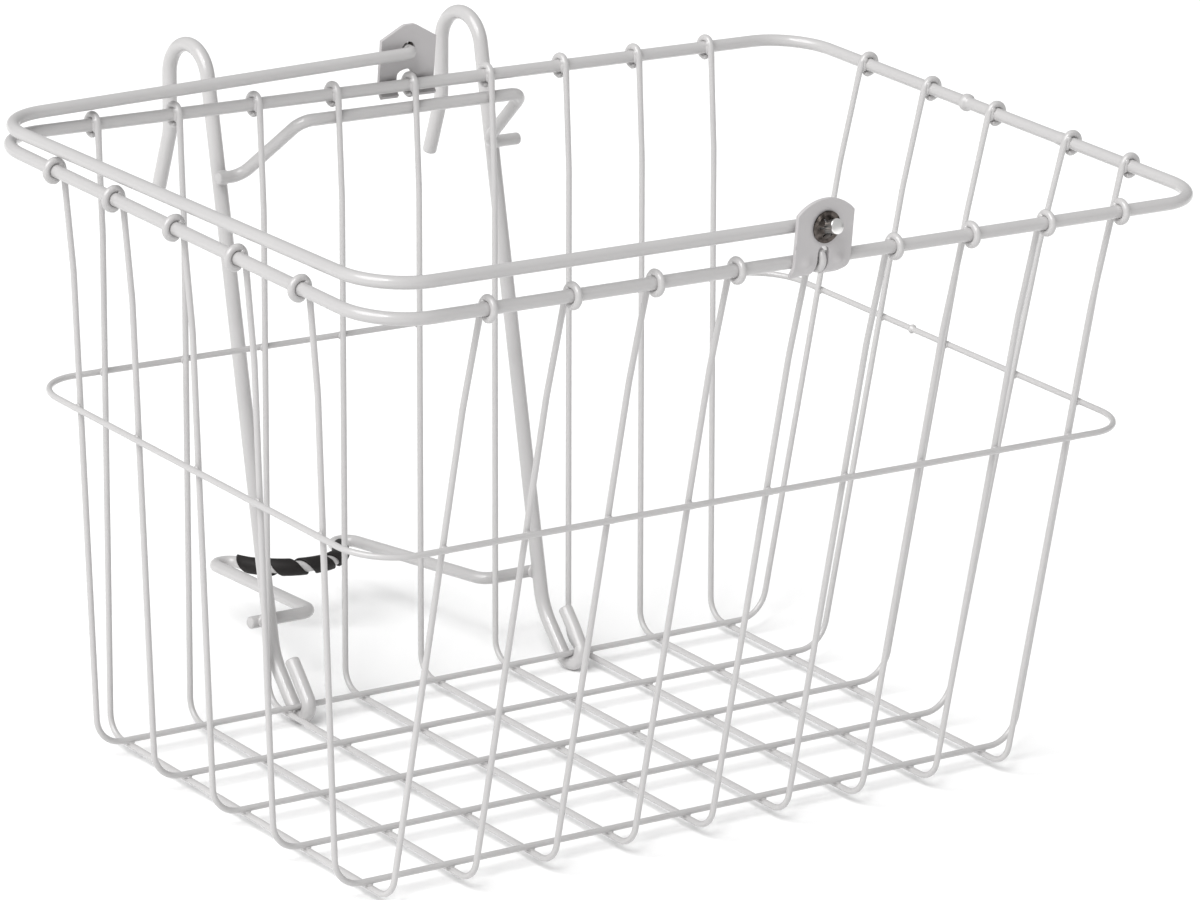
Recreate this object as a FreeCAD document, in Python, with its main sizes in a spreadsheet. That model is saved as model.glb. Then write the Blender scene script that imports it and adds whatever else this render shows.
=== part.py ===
import FreeCAD, Part
import math
import os
import Sketcher

# Wire basket that hangs on a bicycle handlebar: formed steel wire, with a
# swinging bail handle held by two sheet-metal brackets on the rim.
# Millimetres, +Z up, X along the basket's long side, +Y towards the rider.
# Each wire is drawn about the middle of the basket's base and then placed so
# that the origin is on the handlebar axis, in the basket's middle plane.

os.makedirs("parts", exist_ok=True)
doc = FreeCAD.newDocument("handlebar_basket")

DRIVING = (
    ("rim_length", "376.2", "rim, centreline, along X"),
    ("rim_width", "244", "rim, centreline, along Y"),
    ("rim_height", "228.4", "rim centreline above the underside of the base"),
    ("rim_dia", "4.7", "rim and bail wire"),
    ("rim_corner", "22", "centreline radius of the rim's and bail's corners"),
    ("wall_dia", "2.3", "wall, base and hoop wire"),
    ("base_length", "314.8", "base, where the end walls' centrelines would meet it"),
    ("base_width", "180.6", "base, where the side walls' centrelines would meet it"),
    ("cross_pitch", "35.7", "between the wires that cross the short way"),
    ("cross_bend", "9", "their bend at the base"),
    ("long_pitch", "38.3", "between the wires that run the long way"),
    ("long_bend", "12", "their bend at the base"),
    ("curl_end", "290", "angle at which a wire end's curl round the rim stops"),
    ("curl_gap", "0.5", "how far the curl stands off the rim opposite the wall"),
    ("kick_turn", "3", "outward bend of the wall wires near the rim, degrees"),
    ("kick_run", "40", "that bend below the rim"),
    ("kick_bend", "90", "its radius"),
    ("hoop_height", "137.6", "hoop centreline above the underside of the base"),
    ("hoop_corner", "20", "centreline radius of the hoop's corners"),
    ("bail_rise", "12.7", "bail pivot above the rim centreline"),
    ("bail_rest", "0.9", "how far the lowered bail dips from level, degrees"),
    ("pivot_bend", "3.2", "bend from the bail's leg into its pivot end"),
    ("pivot_stick", "6.4", "pivot end beyond the bracket's outer face"),
    ("pivot_play", "0.05", "radial clearance of the pivot in its hole"),
    ("bracket_wide", "25.4", "bail bracket, along the rim"),
    ("bracket_thick", "1.5", "its sheet"),
    ("bracket_head", "10.2", "its top above the pivot"),
    ("bracket_arc", "17.9", "radius of its top edge"),
    ("bracket_wrap", "150", "how far its lower end wraps round the rim, degrees"),
    ("bracket_foot", "4.5", "clip across its lower corners"),
    ("slot_wide", "4.8", "slot that clears the middle wire's curl"),
    ("slot_rise", "5.6", "top of the slot above the rim centreline"),
    ("nut_dia", "11.8", "push nut"),
    ("nut_thick", "0.5", "its sheet"),
    ("nut_dish", "1.1", "how far its teeth stand out"),
    ("nut_gap", "0.3", "between the push nut and the bracket"),
    ("hanger_dia", "5.6", "hanger wire"),
    ("hanger_space", "127.9", "between the two hangers"),
    ("hanger_shift", "-2.4", "their middle from the basket's middle"),
    ("hanger_lean", "17", "lean of the hanger's long leg, degrees"),
    ("hanger_back", "38.5", "long leg behind the rim centreline at rim height"),
    ("hook_radius", "13.1", "centreline radius of the handlebar hook"),
    ("hook_rise", "9.3", "top of the hook's centreline above the rim centreline"),
    ("hook_close", "6", "how far the hook's free leg leans in, degrees"),
    ("hook_leg", "20", "its free leg, straight"),
    ("hook_flare", "13", "lean of its free end, degrees"),
    ("hook_tip", "22", "its free end, straight"),
    ("hook_bend", "14", "bend between them"),
    ("foot_slope", "45", "slope of the hanger's foot, degrees"),
    ("foot_bend", "28", "bend above the foot"),
    ("foot_slack", "0.3", "how much wider the foot's crook is than the wire in it"),
    ("foot_tip", "19", "end of the foot, straight"),
    ("bar_dia", "22.2", "handlebar that the hooks take"),
    ("brace_dia", "4.8", "brace wire"),
    ("top_drop", "8.6", "upper brace below the rim centreline"),
    ("top_reach", "35", "its welded ends below the rim centreline"),
    ("top_left", "50.5", "its left corner from the middle"),
    ("top_right", "53.5", "its right corner from the middle"),
    ("top_end_left", "60", "its left rear corner from the middle"),
    ("top_end_right", "54.5", "its right rear corner from the middle"),
    ("top_half", "70.5", "its ends from the middle"),
    ("top_bend", "6.5", "its bends"),
    ("low_rise", "5.25", "lower brace's welded ends above the hanger's foot bend"),
    ("low_tilt", "5.7", "how far it dips towards the rear, degrees"),
    ("low_shift", "-2", "its middle from the basket's middle"),
    ("low_left", "70", "its left end from its middle"),
    ("low_right", "65", "its right end from its middle"),
    ("low_bend", "6", "bend from its ends into its arms"),
    ("low_arm", "70.5", "its arms, straight"),
    ("low_splay", "5.4", "how far the arms splay, degrees"),
    ("horn_radius", "5.2", "bend at the end of each arm"),
    ("saddle_radius", "23.5", "rest for the bicycle's head tube"),
    ("saddle_flank", "10", "slope of the saddle's sides off square, degrees"),
    ("saddle_step", "0.4", "straight between the saddle and each arm's bend"),
    ("wrap_thick", "1.2", "soft strip on the saddle"),
)

DERIVED = (
    ("rim_rad", "=rim_dia / 2"),
    ("wall_rad", "=wall_dia / 2"),
    ("hanger_rad", "=hanger_dia / 2"),
    ("brace_rad", "=brace_dia / 2"),
    ("weld_rad", "=rim_rad + wall_rad"),
    ("curl_rad", "=weld_rad + curl_gap"),
    ("kick_off", "=weld_rad * cos(kick_turn * 1deg) + kick_run * sin(kick_turn * 1deg)"),
    ("kick_rise", "=kick_run * cos(kick_turn * 1deg) - weld_rad * sin(kick_turn * 1deg)"),
    ("kick_trim", "=kick_bend * tan(kick_turn / 2 * 1deg)"),
    ("kick_straight", "=kick_run - kick_trim"),
    ("cross_level", "=wall_rad"),
    ("long_level", "=3 * wall_rad"),
    ("cross_out", "=(rim_width - base_width) / 2"),
    ("cross_up", "=rim_height - cross_level"),
    ("cross_diag", "=sqrt(cross_out ^ 2 + cross_up ^ 2)"),
    ("cross_lean", "=atan(cross_out / cross_up) - asin(kick_off / cross_diag)"),
    ("cross_top", "=cross_lean + kick_turn * 1deg"),
    ("cross_trim", "=cross_bend * tan((90deg - cross_lean) / 2)"),
    ("cross_wall", "=sqrt(cross_diag ^ 2 - kick_off ^ 2) - kick_rise - cross_trim - kick_trim"),
    ("cross_base", "=base_width - 2 * cross_trim"),
    ("long_out", "=(rim_length - base_length) / 2"),
    ("long_up", "=rim_height - long_level"),
    ("long_diag", "=sqrt(long_out ^ 2 + long_up ^ 2)"),
    ("long_lean", "=atan(long_out / long_up) - asin(kick_off / long_diag)"),
    ("long_top", "=long_lean + kick_turn * 1deg"),
    ("long_trim", "=long_bend * tan((90deg - long_lean) / 2)"),
    ("long_wall", "=sqrt(long_diag ^ 2 - kick_off ^ 2) - kick_rise - long_trim - kick_trim"),
    ("long_base", "=base_length - 2 * long_trim"),
    ("hoop_half_wide", "=base_width / 2 + (hoop_height - cross_level) * tan(cross_lean)"
                       " + wall_dia / cos(cross_lean)"),
    ("hoop_half_long", "=base_length / 2 + (hoop_height - long_level) * tan(long_lean)"
                       " + wall_dia / cos(long_lean)"),
    ("pivot_height", "=rim_height + bail_rise"),
    ("plate_face", "=rim_width / 2 + rim_rad"),
    ("bail_half_wide", "=plate_face - 0.15 - pivot_bend"),
    ("pivot_length", "=pivot_stick + bracket_thick + 0.15"),
    ("lean_turn", "=hanger_lean * 1deg"),
    ("close_turn", "=hook_close * 1deg"),
    ("slope_turn", "=foot_slope * 1deg"),
    ("hook_level", "=rim_height + hook_rise - hook_radius"),
    ("hook_middle", "=rim_width / 2 + hanger_back - (hook_radius - hook_rise) * tan(lean_turn)"
                    " + hook_radius / cos(lean_turn)"),
    ("hook_inside", "=hook_radius - hanger_rad"),
    ("seat_drop", "=(bar_dia / 2 - hook_inside) / sin((lean_turn - close_turn) / 2)"),
    ("seat_turn", "=(lean_turn + close_turn) / 2"),
    ("bar_reach", "=hook_middle - seat_drop * sin(seat_turn)"),
    ("bar_height", "=hook_level - seat_drop * cos(seat_turn)"),
    ("crook_rad", "=wall_rad + foot_slack + hanger_rad"),
    ("crook_side", "=2 * long_pitch + foot_slack * cos(slope_turn) + crook_rad * sin(slope_turn)"),
    ("crook_level", "=long_level + foot_slack * sin(slope_turn) - crook_rad * cos(slope_turn)"),
    ("leg_at_crook", "=rim_width / 2 + hanger_back + (crook_level - rim_height) * tan(lean_turn)"),
    ("foot_turn", "=90deg - lean_turn - slope_turn"),
    ("foot_run", "=(leg_at_crook - crook_side) / (cos(slope_turn) - sin(slope_turn) * tan(lean_turn))"),
    ("foot_trim", "=foot_bend * tan(foot_turn / 2)"),
    ("foot_straight", "=foot_run - foot_trim"),
    ("leg_bottom", "=crook_level + foot_run * sin(slope_turn)"),
    ("leg_top", "=hook_level + hook_radius * sin(lean_turn)"),
    ("leg_straight", "=(leg_top - leg_bottom) / cos(lean_turn) - foot_trim"),
    ("top_level", "=rim_height - top_drop"),
    ("top_side", "=rim_width / 2 - top_drop * tan(cross_top)"
                 " + (wall_rad + brace_rad - weld_rad) / cos(cross_top)"),
    ("top_side_rear", "=rim_width / 2 + hanger_back - top_reach * tan(lean_turn)"
                      " - (hanger_rad + brace_rad) / cos(lean_turn)"),
    ("top_tilt", "=atan((top_reach - top_drop) / (top_side_rear - top_side))"),
    ("top_deep", "=(top_reach - top_drop) / sin(top_tilt)"),
    ("top_lean_left", "=atan((top_end_left - top_left) / top_deep)"),
    ("top_lean_right", "=atan((top_end_right - top_right) / top_deep)"),
    ("top_trim_left", "=top_bend * tan((90deg - top_lean_left) / 2)"),
    ("top_trim_right", "=top_bend * tan((90deg - top_lean_right) / 2)"),
    ("top_arm_left", "=top_deep / cos(top_lean_left) - 2 * top_trim_left"),
    ("top_arm_right", "=top_deep / cos(top_lean_right) - 2 * top_trim_right"),
    ("top_front", "=top_left + top_right - top_trim_left - top_trim_right"),
    ("low_height", "=leg_bottom + foot_trim * cos(lean_turn) + low_rise"),
    ("low_side", "=rim_width / 2 + hanger_back + (low_height - rim_height) * tan(lean_turn)"
                 " + (hanger_rad + brace_rad) / cos(lean_turn)"),
    ("splay_turn", "=low_splay * 1deg"),
    ("flank_turn", "=saddle_flank * 1deg"),
    ("horn_far", "=saddle_radius * cos(flank_turn) + horn_radius * (cos(flank_turn) + cos(splay_turn))"
                 " + saddle_step * sin(flank_turn)"),
    ("low_knee", "=horn_far + low_arm * sin(splay_turn) + low_bend * cos(splay_turn)"),
    ("low_end_left", "=low_left - low_knee"),
    ("low_end_right", "=low_right - low_knee"),
    ("saddle_deep", "=low_bend * (1 - sin(splay_turn)) + low_arm * cos(splay_turn)"
                    " + horn_radius * (sin(flank_turn) - sin(splay_turn))"
                    " - saddle_step * cos(flank_turn) + saddle_radius * sin(flank_turn)"),
)


def make_sheet():
    sheet = doc.addObject("Spreadsheet::Sheet", "sizes")
    row = 1
    for name, value, note in DRIVING:
        sheet.set("A%d" % row, name)
        sheet.set("B%d" % row, value)
        sheet.set("C%d" % row, note)
        sheet.setAlias("B%d" % row, name)
        row += 1
    doc.recompute()
    for name, formula in DERIVED:
        sheet.set("A%d" % row, name)
        sheet.set("B%d" % row, formula)
        sheet.setAlias("B%d" % row, name)
        doc.recompute()
        row += 1
    return sheet


SHEET = make_sheet()
NAMES = [entry[0] for entry in DRIVING] + [entry[0] for entry in DERIVED]


def linked(formula):
    """The formula with every size's name pointed at the sheet."""
    out = []
    word = ""
    for letter in str(formula) + " ":
        if letter.isalnum() or letter == "_":
            word += letter
            continue
        out.append("sizes." + word if word in NAMES else word)
        out.append(letter)
        word = ""
    return "".join(out).strip()


def value(formula):
    """The formula's number: millimetres or degrees."""
    result = SHEET.evalExpression(linked(formula))
    return float(getattr(result, "Value", result))


def origin_plane(body, role):
    for feature in body.Origin.OriginFeatures:
        if feature.Role == role:
            return feature
    raise ValueError(role)


def new_body(label, side="0", level="0", along="0", turn=None, axis=(0, 0, 1)):
    """A body whose own origin stands at (along, side, level) from the base's middle."""
    body = doc.addObject("PartDesign::Body", label)
    body.Label = label
    body.Placement = FreeCAD.Placement()
    if turn is not None:
        vector = FreeCAD.Vector(*axis)
        body.Placement = FreeCAD.Placement(FreeCAD.Vector(), FreeCAD.Rotation(vector, value(turn)))
        body.setExpression("Placement.Rotation.Angle", linked("(%s) * 1deg" % turn))
    body.setExpression("Placement.Base.x", linked("(%s) * 1mm" % along))
    body.setExpression("Placement.Base.y", linked("(%s - bar_reach) * 1mm" % side))
    body.setExpression("Placement.Base.z", linked("(%s - bar_height) * 1mm" % level))
    return body


def new_sketch(body, name, role):
    sketch = body.newObject("Sketcher::SketchObject", name)
    sketch.AttachmentSupport = [(origin_plane(body, role), "")]
    sketch.MapMode = "FlatFace"
    return sketch


def bind(sketch, index, formula, unit):
    sketch.setExpression("Constraints[%d]" % index, linked("(%s) * 1%s" % (formula, unit)))


def fix(sketch, kind, where, formula):
    """One dimension: kind, the geometry it holds, and the formula that drives it."""
    number = value(formula)
    if kind == "Angle":
        number = math.radians(number)
    index = sketch.addConstraint(Sketcher.Constraint(kind, *where, number))
    bind(sketch, index, formula, "deg" if kind == "Angle" else "mm")


def add_line(sketch, at, heading, length):
    end = at + FreeCAD.Vector(math.cos(heading), math.sin(heading), 0) * length
    return sketch.addGeometry(Part.LineSegment(at, end), False), end


def add_arc(sketch, at, heading, radius, sweep):
    """A tangent arc; a positive sweep turns left. Returns its index and its end."""
    hand = 1 if sweep > 0 else -1
    out = FreeCAD.Vector(-math.sin(heading), math.cos(heading), 0) * (hand * radius)
    centre = at + out
    first = math.atan2(-out.y, -out.x)
    low, high = min(first, first + sweep), max(first, first + sweep)
    circle = Part.Circle(centre, FreeCAD.Vector(0, 0, 1), radius)
    index = sketch.addGeometry(Part.ArcOfCircle(circle, low, high), False)
    last = first + sweep
    end = centre + FreeCAD.Vector(math.cos(last), math.sin(last), 0) * radius
    return index, end


def swing(heading, target, hand):
    """The turn from one heading to another, left if hand is +1 and right if -1."""
    turn = (target - heading) % (2 * math.pi)
    if hand < 0:
        turn -= 2 * math.pi
    return turn


def draw_path(sketch, start, moves, closed=False):
    """Straight runs joined by tangent bends.
    moves: ("run", heading, length or None), ("bend", radius, hand) and, at either
    end, ("curl", radius, sweep, centre x, tip x). Every size is a formula."""
    at = FreeCAD.Vector(value(start[0]), value(start[1]), 0)
    heading = None
    joints = []
    for number, move in enumerate(moves):
        following = moves[number + 1] if number + 1 < len(moves) else None
        if move[0] == "run":
            heading = math.radians(value(move[1]))
            length = value(move[2])
            index, at = add_line(sketch, at, heading, length)
            fix(sketch, "Angle", (index,), move[1])
            if not (len(move) > 3):
                fix(sketch, "Distance", (index,), move[2])
            joints.append((index, 1, 2))
            continue
        if move[0] == "bend":
            sweep = swing(heading, math.radians(value(following[1])), move[2])
            index, at = add_arc(sketch, at, heading, value(move[1]), sweep)
            heading += sweep
        else:
            sweep = math.radians(value(move[2]))
            if heading is None:
                heading = math.radians(value(following[1])) - sweep
            index, at = add_arc(sketch, at, heading, value(move[1]), sweep)
        fix(sketch, "Radius", (index,), move[1])
        entry = 1 if sweep > 0 else 2
        joints.append((index, entry, 3 - entry))
        if move[0] == "curl" and number == 0:
            fix(sketch, "DistanceX", (index, 3), move[3])
        if move[0] == "curl" and number > 0:
            fix(sketch, "DistanceX", (index, 3 - entry), move[4])
    for one, two in zip(joints, joints[1:]):
        sketch.addConstraint(Sketcher.Constraint("Tangent", one[0], one[2], two[0], two[1]))
    first = joints[0]
    if closed:
        last = joints[-1]
        sketch.addConstraint(Sketcher.Constraint("Coincident", last[0], last[2], first[0], first[1]))
    fix(sketch, "DistanceX", (first[0], first[1]), start[0])
    fix(sketch, "DistanceY", (first[0], first[1]), start[1])
    doc.recompute()


def round_profile(body, path, radii):
    """Circles square to the start of the path."""
    sketch = body.newObject("Sketcher::SketchObject", body.Name + "_section")
    sketch.AttachmentSupport = [(path, "Edge1")]
    sketch.MapMode = "NormalToEdge"
    sketch.MapPathParameter = 0.0
    for radius in radii:
        circle = Part.Circle(FreeCAD.Vector(), FreeCAD.Vector(0, 0, 1), value(radius))
        index = sketch.addGeometry(circle, False)
        sketch.addConstraint(Sketcher.Constraint("Coincident", index, 3, -1, 1))
        fix(sketch, "Radius", (index,), radius)
    doc.recompute()
    return sketch


def sweep_wire(body, path, radii):
    pipe = body.newObject("PartDesign::AdditivePipe", body.Name + "_wire")
    pipe.Profile = round_profile(body, path, radii)
    pipe.Spine = (path, ["Edge%d" % (n + 1) for n in range(len(path.Geometry))])
    doc.recompute()
    return pipe


def wire(body, role, start, moves, radii, closed=False):
    path = new_sketch(body, body.Name + "_path", role)
    draw_path(path, start, moves, closed)
    sweep_wire(body, path, radii)
    return body


def make_ring(label, half_long, half_wide, corner, level, radius):
    """A closed rounded rectangle, drawn from the middle of its front side."""
    body = new_body(label, level=level)
    across = "%s - %s" % (half_long, corner)
    deep = "2 * (%s - %s)" % (half_wide, corner)
    moves = (
        ("run", "0", across), ("bend", corner, 1),
        ("run", "90", deep), ("bend", corner, 1),
        ("run", "180", "2 * (%s)" % across), ("bend", corner, 1),
        ("run", "270", deep, "free"), ("bend", corner, 1),
        ("run", "0", across, "free"))
    return wire(body, "XY_Plane", ("0", "-(%s)" % half_wide), moves, (radius,), True)


def make_u_wire(label, role, kind, along="0", side="0"):
    """A wall wire: curled over the rim, down one wall, across the base and back up."""
    body = new_body(label, along=along, side=side)
    rim_half = "rim_width / 2" if kind == "cross" else "rim_length / 2"
    centre = "(%s + curl_gap * cos(%s_top))" % (rim_half, kind)
    tip = "%s - curl_rad * cos(curl_end * 1deg)" % centre
    level = "rim_height - curl_gap * sin(%s_top) + curl_rad * sin(curl_end * 1deg)" % kind
    sweep = "-(curl_end * 1deg - %s_top)" % kind
    curl_in = ("curl", "curl_rad", sweep, "-" + centre, "0")
    curl_out = ("curl", "curl_rad", sweep, "0", tip)
    wall, base, bend = kind + "_wall", kind + "_base", kind + "_bend"
    moves = (
        curl_in, ("run", "%s_top - 90deg" % kind, "kick_straight"), ("bend", "kick_bend", -1),
        ("run", "%s_lean - 90deg" % kind, wall),
        ("bend", bend, 1), ("run", "0", base), ("bend", bend, 1),
        ("run", "90deg - %s_lean" % kind, wall), ("bend", "kick_bend", -1),
        ("run", "90deg - %s_top" % kind, "kick_straight"), curl_out)
    return wire(body, role, ("-(%s)" % tip, level), moves, ("wall_rad",))


def make_bail():
    """The handle lies over the basket's left half; its ends turn out through the brackets."""
    body = new_body("bail_handle", level="pivot_height", turn="-bail_rest", axis=(0, 1, 0))
    leg = "rim_length / 2 - pivot_bend - rim_corner"
    moves = (
        ("run", "90", "pivot_length"), ("bend", "pivot_bend", 1),
        ("run", "180", leg), ("bend", "rim_corner", -1),
        ("run", "90", "2 * (bail_half_wide - rim_corner)"), ("bend", "rim_corner", -1),
        ("run", "0", leg), ("bend", "pivot_bend", 1),
        ("run", "90", "pivot_length"))
    start = ("0", "-(bail_half_wide + pivot_bend + pivot_length)")
    return wire(body, "XY_Plane", start, moves, ("rim_rad",))


def make_hanger(label, hand):
    """Hook over the handlebar, long leg down behind the wall, foot round a base wire."""
    body = new_body(label, along="hanger_shift + %s * hanger_space / 2" % hand)
    turn = "hook_flare + hook_close"
    trim = "hook_bend * tan((%s) / 2 * 1deg)" % turn
    knee_side = "hook_middle + hook_radius * cos(close_turn) - (hook_leg + %s) * sin(close_turn)" % trim
    knee_level = "hook_level - hook_radius * sin(close_turn) - (hook_leg + %s) * cos(close_turn)" % trim
    tip = "hook_tip + %s" % trim
    start = ("%s + (%s) * sin(hook_flare * 1deg)" % (knee_side, tip),
             "%s - (%s) * cos(hook_flare * 1deg)" % (knee_level, tip))
    moves = (
        ("run", "90 + hook_flare", "hook_tip"), ("bend", "hook_bend", -1),
        ("run", "90 - hook_close", "hook_leg"), ("bend", "hook_radius", 1),
        ("run", "270 - hanger_lean", "leg_straight"), ("bend", "foot_bend", -1),
        ("run", "180 + foot_slope", "foot_straight"), ("bend", "crook_rad", -1),
        ("run", "foot_slope", "foot_tip"))
    return wire(body, "YZ_Plane", start, moves, ("hanger_rad",))


def make_upper_brace():
    """Runs along the rear wall under the rim, then back and down to both hangers."""
    body = new_body("upper_brace_wire", side="top_side", level="top_level",
                    turn="-top_tilt / 1deg", axis=(1, 0, 0))
    moves = (
        ("run", "0", "top_half - top_end_left - top_trim_left"), ("bend", "top_bend", -1),
        ("run", "top_lean_left - 90deg", "top_arm_left"), ("bend", "top_bend", 1),
        ("run", "0", "top_front"), ("bend", "top_bend", 1),
        ("run", "90deg - top_lean_right", "top_arm_right"), ("bend", "top_bend", -1),
        ("run", "0", "top_half - top_end_right - top_trim_right"))
    return wire(body, "XY_Plane", ("-top_half", "top_deep"), moves, ("brace_rad",))


def low_body(label):
    return new_body(label, along="low_shift", side="low_side", level="low_height",
                    turn="-low_tilt", axis=(1, 0, 0))


def make_lower_brace():
    """Two arms that reach back from the hangers to a saddle for the head tube."""
    body = low_body("lower_brace_wire")
    moves = (
        ("run", "0", "low_end_left"), ("bend", "low_bend", 1),
        ("run", "90 - low_splay", "low_arm"), ("bend", "horn_radius", -1),
        ("run", "saddle_flank - 90", "saddle_step"), ("bend", "saddle_radius", 1),
        ("run", "90 - saddle_flank", "saddle_step"), ("bend", "horn_radius", -1),
        ("run", "low_splay - 90", "low_arm"), ("bend", "low_bend", 1),
        ("run", "0", "low_end_right"))
    return wire(body, "XY_Plane", ("-low_left", "0"), moves, ("brace_rad",))


def make_wrap():
    """The soft strip wound on the saddle, as one sleeve of its outside shape."""
    body = low_body("pad_wrap")
    path = new_sketch(body, "pad_wrap_path", "XY_Plane")
    middle = FreeCAD.Vector(0, value("saddle_deep"), 0)
    radius = value("saddle_radius")
    slope = math.radians(value("saddle_flank"))
    circle = Part.Circle(middle, FreeCAD.Vector(0, 0, 1), radius)
    arc = Part.ArcOfCircle(circle, math.pi + slope, 2 * math.pi - slope)
    index = path.addGeometry(arc, False)
    fix(path, "Radius", (index,), "saddle_radius")
    fix(path, "DistanceX", (index, 3), "0")
    fix(path, "DistanceY", (index, 3), "saddle_deep")
    fix(path, "DistanceX", (index, 1), "-saddle_radius * cos(flank_turn)")
    fix(path, "DistanceX", (index, 2), "saddle_radius * cos(flank_turn)")
    doc.recompute()
    sweep_wire(body, path, ("brace_rad + wrap_thick", "brace_rad"))
    return body


def cut(body, sketch, name):
    """A pocket through everything, both ways from the sketch."""
    before = body.Shape.Volume
    pocket = body.newObject("PartDesign::Pocket", name)
    pocket.Profile = sketch
    pocket.Type = "ThroughAll"
    pocket.Midplane = True
    doc.recompute()
    if not body.Shape.Volume < before:
        raise ValueError(name + " cut nothing")
    return pocket


def corner_point(sketch, index, place, side, level):
    fix(sketch, "DistanceX", (index, place), side)
    fix(sketch, "DistanceY", (index, place), level)


def polygon(sketch, points):
    """A closed outline whose corners are held by formulas."""
    spots = [FreeCAD.Vector(value(x), value(y), 0) for x, y in points]
    count = len(spots)
    for n in range(count):
        sketch.addGeometry(Part.LineSegment(spots[n], spots[(n + 1) % count]), False)
    for n in range(count):
        sketch.addConstraint(Sketcher.Constraint("Coincident", n, 2, (n + 1) % count, 1))
    for n in range(count):
        corner_point(sketch, n, 1, points[n][0], points[n][1])


def bracket_side(body):
    """Edge view of the bent sheet: flat above, wrapped round the rim below."""
    sketch = new_sketch(body, body.Name + "_side", "YZ_Plane")
    inner, outer = "rim_rad", "(rim_rad + bracket_thick)"
    end = "(180 + bracket_wrap) * 1deg"
    axis = FreeCAD.Vector(0, 0, 1)
    angle = math.radians(180 + value("bracket_wrap"))
    head = "bail_rise + bracket_head"
    top_in = FreeCAD.Vector(-value(inner), value(head), 0)
    top_out = FreeCAD.Vector(-value(outer), value(head), 0)
    edge_in = FreeCAD.Vector(-value(inner), 0, 0)
    edge_out = FreeCAD.Vector(-value(outer), 0, 0)
    way = FreeCAD.Vector(math.cos(angle), math.sin(angle), 0)
    sketch.addGeometry(Part.LineSegment(top_out, edge_out), False)
    ring = Part.Circle(FreeCAD.Vector(), axis, value(outer))
    sketch.addGeometry(Part.ArcOfCircle(ring, math.pi, angle), False)
    sketch.addGeometry(Part.LineSegment(way * value(outer), way * value(inner)), False)
    ring = Part.Circle(FreeCAD.Vector(), axis, value(inner))
    sketch.addGeometry(Part.ArcOfCircle(ring, math.pi, angle), False)
    sketch.addGeometry(Part.LineSegment(edge_in, top_in), False)
    sketch.addGeometry(Part.LineSegment(top_in, top_out), False)
    for pair in ((0, 2, 1, 1), (1, 2, 2, 1), (2, 2, 3, 2), (3, 1, 4, 1), (4, 2, 5, 1), (5, 2, 0, 1)):
        sketch.addConstraint(Sketcher.Constraint("Coincident", *pair))
    sketch.addConstraint(Sketcher.Constraint("Coincident", 1, 3, -1, 1))
    sketch.addConstraint(Sketcher.Constraint("Coincident", 3, 3, -1, 1))
    corner_point(sketch, 0, 1, "-" + outer, head)
    corner_point(sketch, 4, 2, "-" + inner, head)
    corner_point(sketch, 0, 2, "-" + outer, "0")
    corner_point(sketch, 4, 1, "-" + inner, "0")
    fix(sketch, "DistanceX", (1, 2), "%s * cos(%s)" % (outer, end))
    fix(sketch, "DistanceX", (3, 2), "%s * cos(%s)" % (inner, end))
    doc.recompute()
    return sketch


def bracket_top(body):
    """What is cut away above the arched top edge."""
    sketch = new_sketch(body, body.Name + "_top", "XZ_Plane")
    half = "(bracket_wide / 2 + 1)"
    head = "(bail_rise + bracket_head)"
    drop = "(bracket_arc - sqrt(bracket_arc ^ 2 - %s ^ 2))" % half
    left = FreeCAD.Vector(-value(half), value("%s - %s" % (head, drop)), 0)
    right = FreeCAD.Vector(value(half), left.y, 0)
    left_up = FreeCAD.Vector(left.x, value(head) + 5, 0)
    right_up = FreeCAD.Vector(right.x, left_up.y, 0)
    centre = FreeCAD.Vector(0, value(head) - value("bracket_arc"), 0)
    first = math.atan2(right.y - centre.y, right.x)
    circle = Part.Circle(centre, FreeCAD.Vector(0, 0, 1), value("bracket_arc"))
    sketch.addGeometry(Part.ArcOfCircle(circle, first, math.pi - first), False)
    sketch.addGeometry(Part.LineSegment(left, left_up), False)
    sketch.addGeometry(Part.LineSegment(left_up, right_up), False)
    sketch.addGeometry(Part.LineSegment(right_up, right), False)
    for pair in ((0, 2, 1, 1), (1, 2, 2, 1), (2, 2, 3, 1), (3, 2, 0, 1)):
        sketch.addConstraint(Sketcher.Constraint("Coincident", *pair))
    fix(sketch, "Radius", (0,), "bracket_arc")
    corner_point(sketch, 0, 3, "0", "%s - bracket_arc" % head)
    fix(sketch, "DistanceX", (1, 1), "-" + half)
    corner_point(sketch, 1, 2, "-" + half, head + " + 5")
    fix(sketch, "DistanceX", (3, 2), half)
    corner_point(sketch, 3, 1, half, head + " + 5")
    doc.recompute()
    return sketch


def bracket_hole(body):
    sketch = new_sketch(body, body.Name + "_hole", "XZ_Plane")
    centre = FreeCAD.Vector(0, value("bail_rise"), 0)
    circle = Part.Circle(centre, FreeCAD.Vector(0, 0, 1), value("rim_rad + pivot_play"))
    index = sketch.addGeometry(circle, False)
    fix(sketch, "Radius", (index,), "rim_rad + pivot_play")
    corner_point(sketch, index, 3, "0", "bail_rise")
    doc.recompute()
    return sketch


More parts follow.
